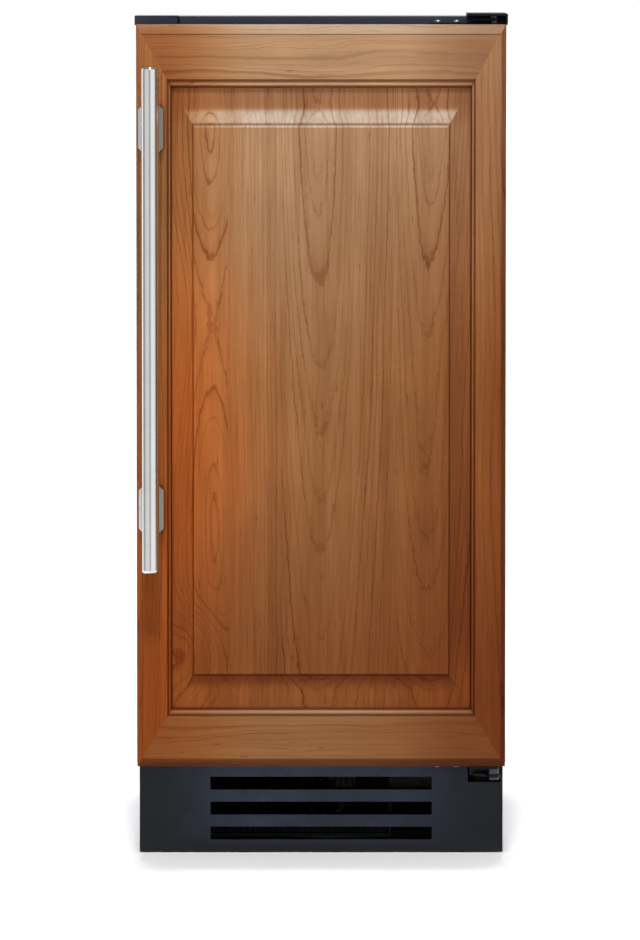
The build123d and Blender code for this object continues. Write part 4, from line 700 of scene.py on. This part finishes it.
def bracket_steel(name):
    """Satin steel castings, brighter on their outer side than on their inner one, where the handle
    tube's shadow is painted.
    """
    shader = Shader(name)
    x, y, z = shader.split(shader.place)
    lines = shader.noise(900.0, 3.0, 0.7, place=shader.stretch((2.0, 2.0, 8.0)))
    tone = shader.mix(shader.fit(x, *BRACKET_SHADOW_ACROSS), BRACKET_OUTER, BRACKET_SHADOWED)
    shader.set(
        Base_Color=shader.shade(tone, (shader.fit(lines, 0.3, 0.7, 0.0, 0.5), BRACKET_LINES)),
        Metallic=1.0,
        Roughness=shader.fit(lines, 0.3, 0.7, 0.28, 0.4),
        Normal=shader.bump(lines, 0.00002, shader.round_edges(0.001)),
    )
    return shader.material


# plain()'s values for each slot, and for the hinge pins, whose steel is darker than the screws'
PLAIN_FINISHES = {
    "cabinet_paint": dict(
        colour=srgb(55, 59, 74), roughness=0.4, grain=1500.0, relief=0.00006, mottle=0.05,
        specular=0.25,
    ),
    "foam": dict(
        colour=(0.75, 0.68, 0.45), roughness=0.9, grain=420.0, relief=0.0004, mottle=0.2
    ),
    "liner_plastic": dict(colour=(0.62, 0.64, 0.66), roughness=0.35, grain=1100.0, mottle=0.04),
    "black_metal": dict(colour=(0.006, 0.007, 0.01), roughness=0.36, mottle=0.2, specular=0.16),
    "steel": dict(colour=(0.3, 0.3, 0.31), roughness=0.3, metallic=1.0, mottle=0.15),
    "pin_steel": dict(colour=(0.07, 0.07, 0.08), roughness=0.22, metallic=1.0, mottle=0.3),
    "foot_plastic": dict(colour=(0.02, 0.02, 0.022), roughness=0.55, mottle=0.2),
    "compressor_paint": dict(
        colour=(0.015, 0.015, 0.017), roughness=0.3, coat=0.5, grain=700.0, relief=0.0001
    ),
    "grommet_rubber": dict(
        colour=(0.03, 0.03, 0.03), roughness=0.8, grain=800.0, relief=0.0001, mottle=0.3
    ),
    # near black and dull: black-painted fins, and painted shade behind the kick plate's slots
    "fin_aluminium": dict(
        colour=(0.002, 0.002, 0.0025), roughness=0.8, mottle=0.3, specular=0.02
    ),
    "copper": dict(colour=(0.72, 0.36, 0.2), roughness=0.28, metallic=1.0, mottle=0.3, grain=300.0),
    "black_plastic": dict(
        colour=(0.018, 0.018, 0.02), roughness=0.45, grain=1200.0, relief=0.00008
    ),
    "motor_metal": dict(colour=(0.4, 0.41, 0.42), roughness=0.4, metallic=0.9, mottle=0.15),
    "valve_plastic": dict(colour=(0.6, 0.6, 0.56), roughness=0.45, mottle=0.08),
    "grey_plastic": dict(colour=(0.4, 0.41, 0.43), roughness=0.45, grain=1100.0, mottle=0.06),
    "nickel": dict(colour=(0.74, 0.71, 0.66), roughness=0.22, metallic=1.0, mottle=0.1),
    "white_plastic": dict(colour=(0.8, 0.82, 0.84), roughness=0.36, mottle=0.04),
    "housing_plastic": dict(
        colour=(0.035, 0.036, 0.04), roughness=0.35, grain=1400.0, relief=0.00008
    ),
    "button_plastic": dict(colour=(0.5, 0.52, 0.55), roughness=0.35, mottle=0.06),
    "display_glass": dict(
        colour=(0.01, 0.014, 0.018), roughness=0.08, coat=1.0, relief=0.000005, mottle=0.3
    ),
    "scoop_plastic": dict(colour=(0.72, 0.78, 0.84), roughness=0.25, coat=0.3, mottle=0.04),
    "gasket_rubber": dict(
        colour=(0.03, 0.03, 0.034), roughness=0.6, grain=900.0, relief=0.00008, mottle=0.2
    ),
}
OTHER_FINISHES = {
    "galvanised": galvanised,
    "clear_plastic": clear_plastic,
    "handle_steel": handle_steel,
    "bracket_steel": bracket_steel,
    "kick_paint": kick_paint,
    "cap_paint": cap_paint,
}
# nodes that look unlike the rest of their slot; the condenser's tube is black like its fins, black
# paint that also stands as painted shade behind the kick plate's slots
SHOWN_AS = {
    "top_panel": "cap_paint",
    "hinge_hole_cover": "cap_paint",
    "hinge_pins": "pin_steel",
    "condenser_tube": "fin_aluminium",
}


def finish(name):
    if name in OTHER_FINISHES:
        return OTHER_FINISHES[name](name)
    return plain(name, **PLAIN_FINISHES[name])


def dress_nodes():
    """The door's wooden members get their own wood, and every other CAD node its finish."""
    materials = {}
    for node, thing in NODES.items():
        if node in MEMBERS:
            material = wood(node.replace("door_", "wood_"), MEMBERS[node])
        else:
            name = SHOWN_AS.get(node, SLOT_OF[node])
            if name not in materials:
                materials[name] = finish(name)
            material = materials[name]
        thing.data.materials.clear()
        thing.data.materials.append(material)


# ---------------------------------------------------------------- studio
FLOOR_RADIUS, FLOOR_GAP = 40.0, 0.0002
ROOM_COLOUR, ROOM_LEVEL = (0.97, 0.98, 1.0, 1.0), 0.25
WHITE_LEVEL = 1.05


def make_floor():
    mesh = bpy.data.meshes.new("floor")
    outline = bmesh.new()
    bmesh.ops.create_circle(outline, cap_ends=True, segments=96, radius=FLOOR_RADIUS)
    outline.to_mesh(mesh)
    outline.free()
    floor = bpy.data.objects.new("floor", mesh)
    floor.location = (0.0, 0.0, -FLOOR_GAP)
    bpy.context.scene.collection.objects.link(floor)
    shader = Shader("floor_white")
    grain = shader.noise(3.0, 2.0)
    shader.set(Base_Color=shader.mix(grain, (0.9, 0.9, 0.9), (0.93, 0.93, 0.93)), Roughness=0.9)
    mesh.materials.append(shader.material)


def make_world():
    """White to the camera; for the object's light, a soft room with darker walls."""
    world = bpy.data.worlds.new("studio")
    bpy.context.scene.world = world
    world.use_nodes = True
    tree = world.node_tree
    tree.nodes.clear()
    output = tree.nodes.new("ShaderNodeOutputWorld")
    both = tree.nodes.new("ShaderNodeMixShader")
    path = tree.nodes.new("ShaderNodeLightPath")
    room = tree.nodes.new("ShaderNodeBackground")
    white = tree.nodes.new("ShaderNodeBackground")
    room.inputs[0].default_value = ROOM_COLOUR
    room.inputs[1].default_value = ROOM_LEVEL
    white.inputs[0].default_value = (1.0, 1.0, 1.0, 1.0)
    white.inputs[1].default_value = WHITE_LEVEL
    tree.links.new(path.outputs["Is Camera Ray"], both.inputs[0])
    tree.links.new(room.outputs[0], both.inputs[1])
    tree.links.new(white.outputs[0], both.inputs[2])
    tree.links.new(both.outputs[0], output.inputs[0])


def make_sun(name, elevation, azimuth, strength, angle):
    """Broad parallel light; azimuth 0 comes from the front, positive from the right."""
    data = bpy.data.lights.new(name, "SUN")
    data.energy = strength
    data.angle = math.radians(angle)
    sun = bpy.data.objects.new(name, data)
    up, round_z = math.radians(elevation), math.radians(azimuth)
    towards = Vector(
        (math.sin(round_z) * math.cos(up), -math.cos(round_z) * math.cos(up), math.sin(up))
    )
    sun.rotation_mode = "QUATERNION"
    sun.rotation_quaternion = towards.to_track_quat("Z", "Y")
    bpy.context.scene.collection.objects.link(sun)


# Boards round the unit that polished metal reflects: the bearings where each is as bright as
# given, in degrees from the front to the right. Between them the brightness changes evenly.
REFLECTED = {
    "behind_left": ((-180, 1.1), (-172, 1.1)),
    "dark_rear_left": ((-168, 0.16), (-136, 0.16)),
    "bright_left": ((-128, 1.3), (-104, 1.3)),
    "grey_left": ((-98, 0.38), (-68, 0.4)),
    "bright_front_left": ((-60, 0.8), (-22, 0.85)),
    "grey_front": ((-12, 0.45), (-2, 0.42)),
    "bright_front_right": ((6, 0.95), (26, 1.05), (52, 1.0)),
    "grey_right": ((66, 0.4),),
    "dark_right": ((76, 0.06), (104, 0.09), (128, 0.18), (168, 0.16)),
    "behind_right": ((172, 1.1), (180, 1.1)),
}
RING_RADIUS, RING_HEIGHT = 2.6, 2.4


def ring_wall(bearings):
    """An upright wall that passes through the bearings."""
    wall = bmesh.new()
    rows = []
    for bearing in bearings:
        turn = math.radians(bearing)
        x, y = RING_RADIUS * math.sin(turn), -RING_RADIUS * math.cos(turn)
        rows.append([wall.verts.new((x, y, z)) for z in (0.0, RING_HEIGHT)])
    for (low_a, high_a), (low_b, high_b) in zip(rows, rows[1:]):
        wall.faces.new((low_a, low_b, high_b, high_a))
    mesh = bpy.data.meshes.new("reflector_ring")
    wall.to_mesh(mesh)
    wall.free()
    return mesh


def reflector_light():
    """Light as bright as the mesh's level."""
    material = bpy.data.materials.new("reflector_light")
    material.use_nodes = True
    tree = material.node_tree
    tree.nodes.clear()
    output = tree.nodes.new("ShaderNodeOutputMaterial")
    glow = tree.nodes.new("ShaderNodeEmission")
    read = tree.nodes.new("ShaderNodeAttribute")
    read.attribute_name = "level"
    tree.links.new(read.outputs["Fac"], glow.inputs["Strength"])
    tree.links.new(glow.outputs[0], output.inputs[0])
    return material


def make_reflector_ring():
    """A ring of bright and dark studio boards round the unit, which only reflections see."""
    stops = [stop for board in REFLECTED.values() for stop in board]
    mesh = ring_wall([bearing for bearing, _ in stops])
    level = mesh.attributes.new("level", "FLOAT", "POINT")
    level.data.foreach_set("value", [value for _, value in stops for _ in range(2)])
    mesh.materials.append(reflector_light())
    ring = bpy.data.objects.new("reflector_ring", mesh)
    bpy.context.scene.collection.objects.link(ring)
    for flag in ("camera", "diffuse", "transmission", "volume_scatter", "shadow"):
        setattr(ring, "visible_" + flag, False)


make_camera()
make_floor()
make_world()
make_reflector_ring()
make_sun("key_sun", elevation=58.0, azimuth=-0.5, strength=2.4, angle=7.0)
make_sun("top_sun", elevation=83.0, azimuth=180.0, strength=1.6, angle=6.0)
dress_nodes()

scene = bpy.context.scene
scene.view_settings.view_transform = "Standard"
scene.view_settings.look = "None"
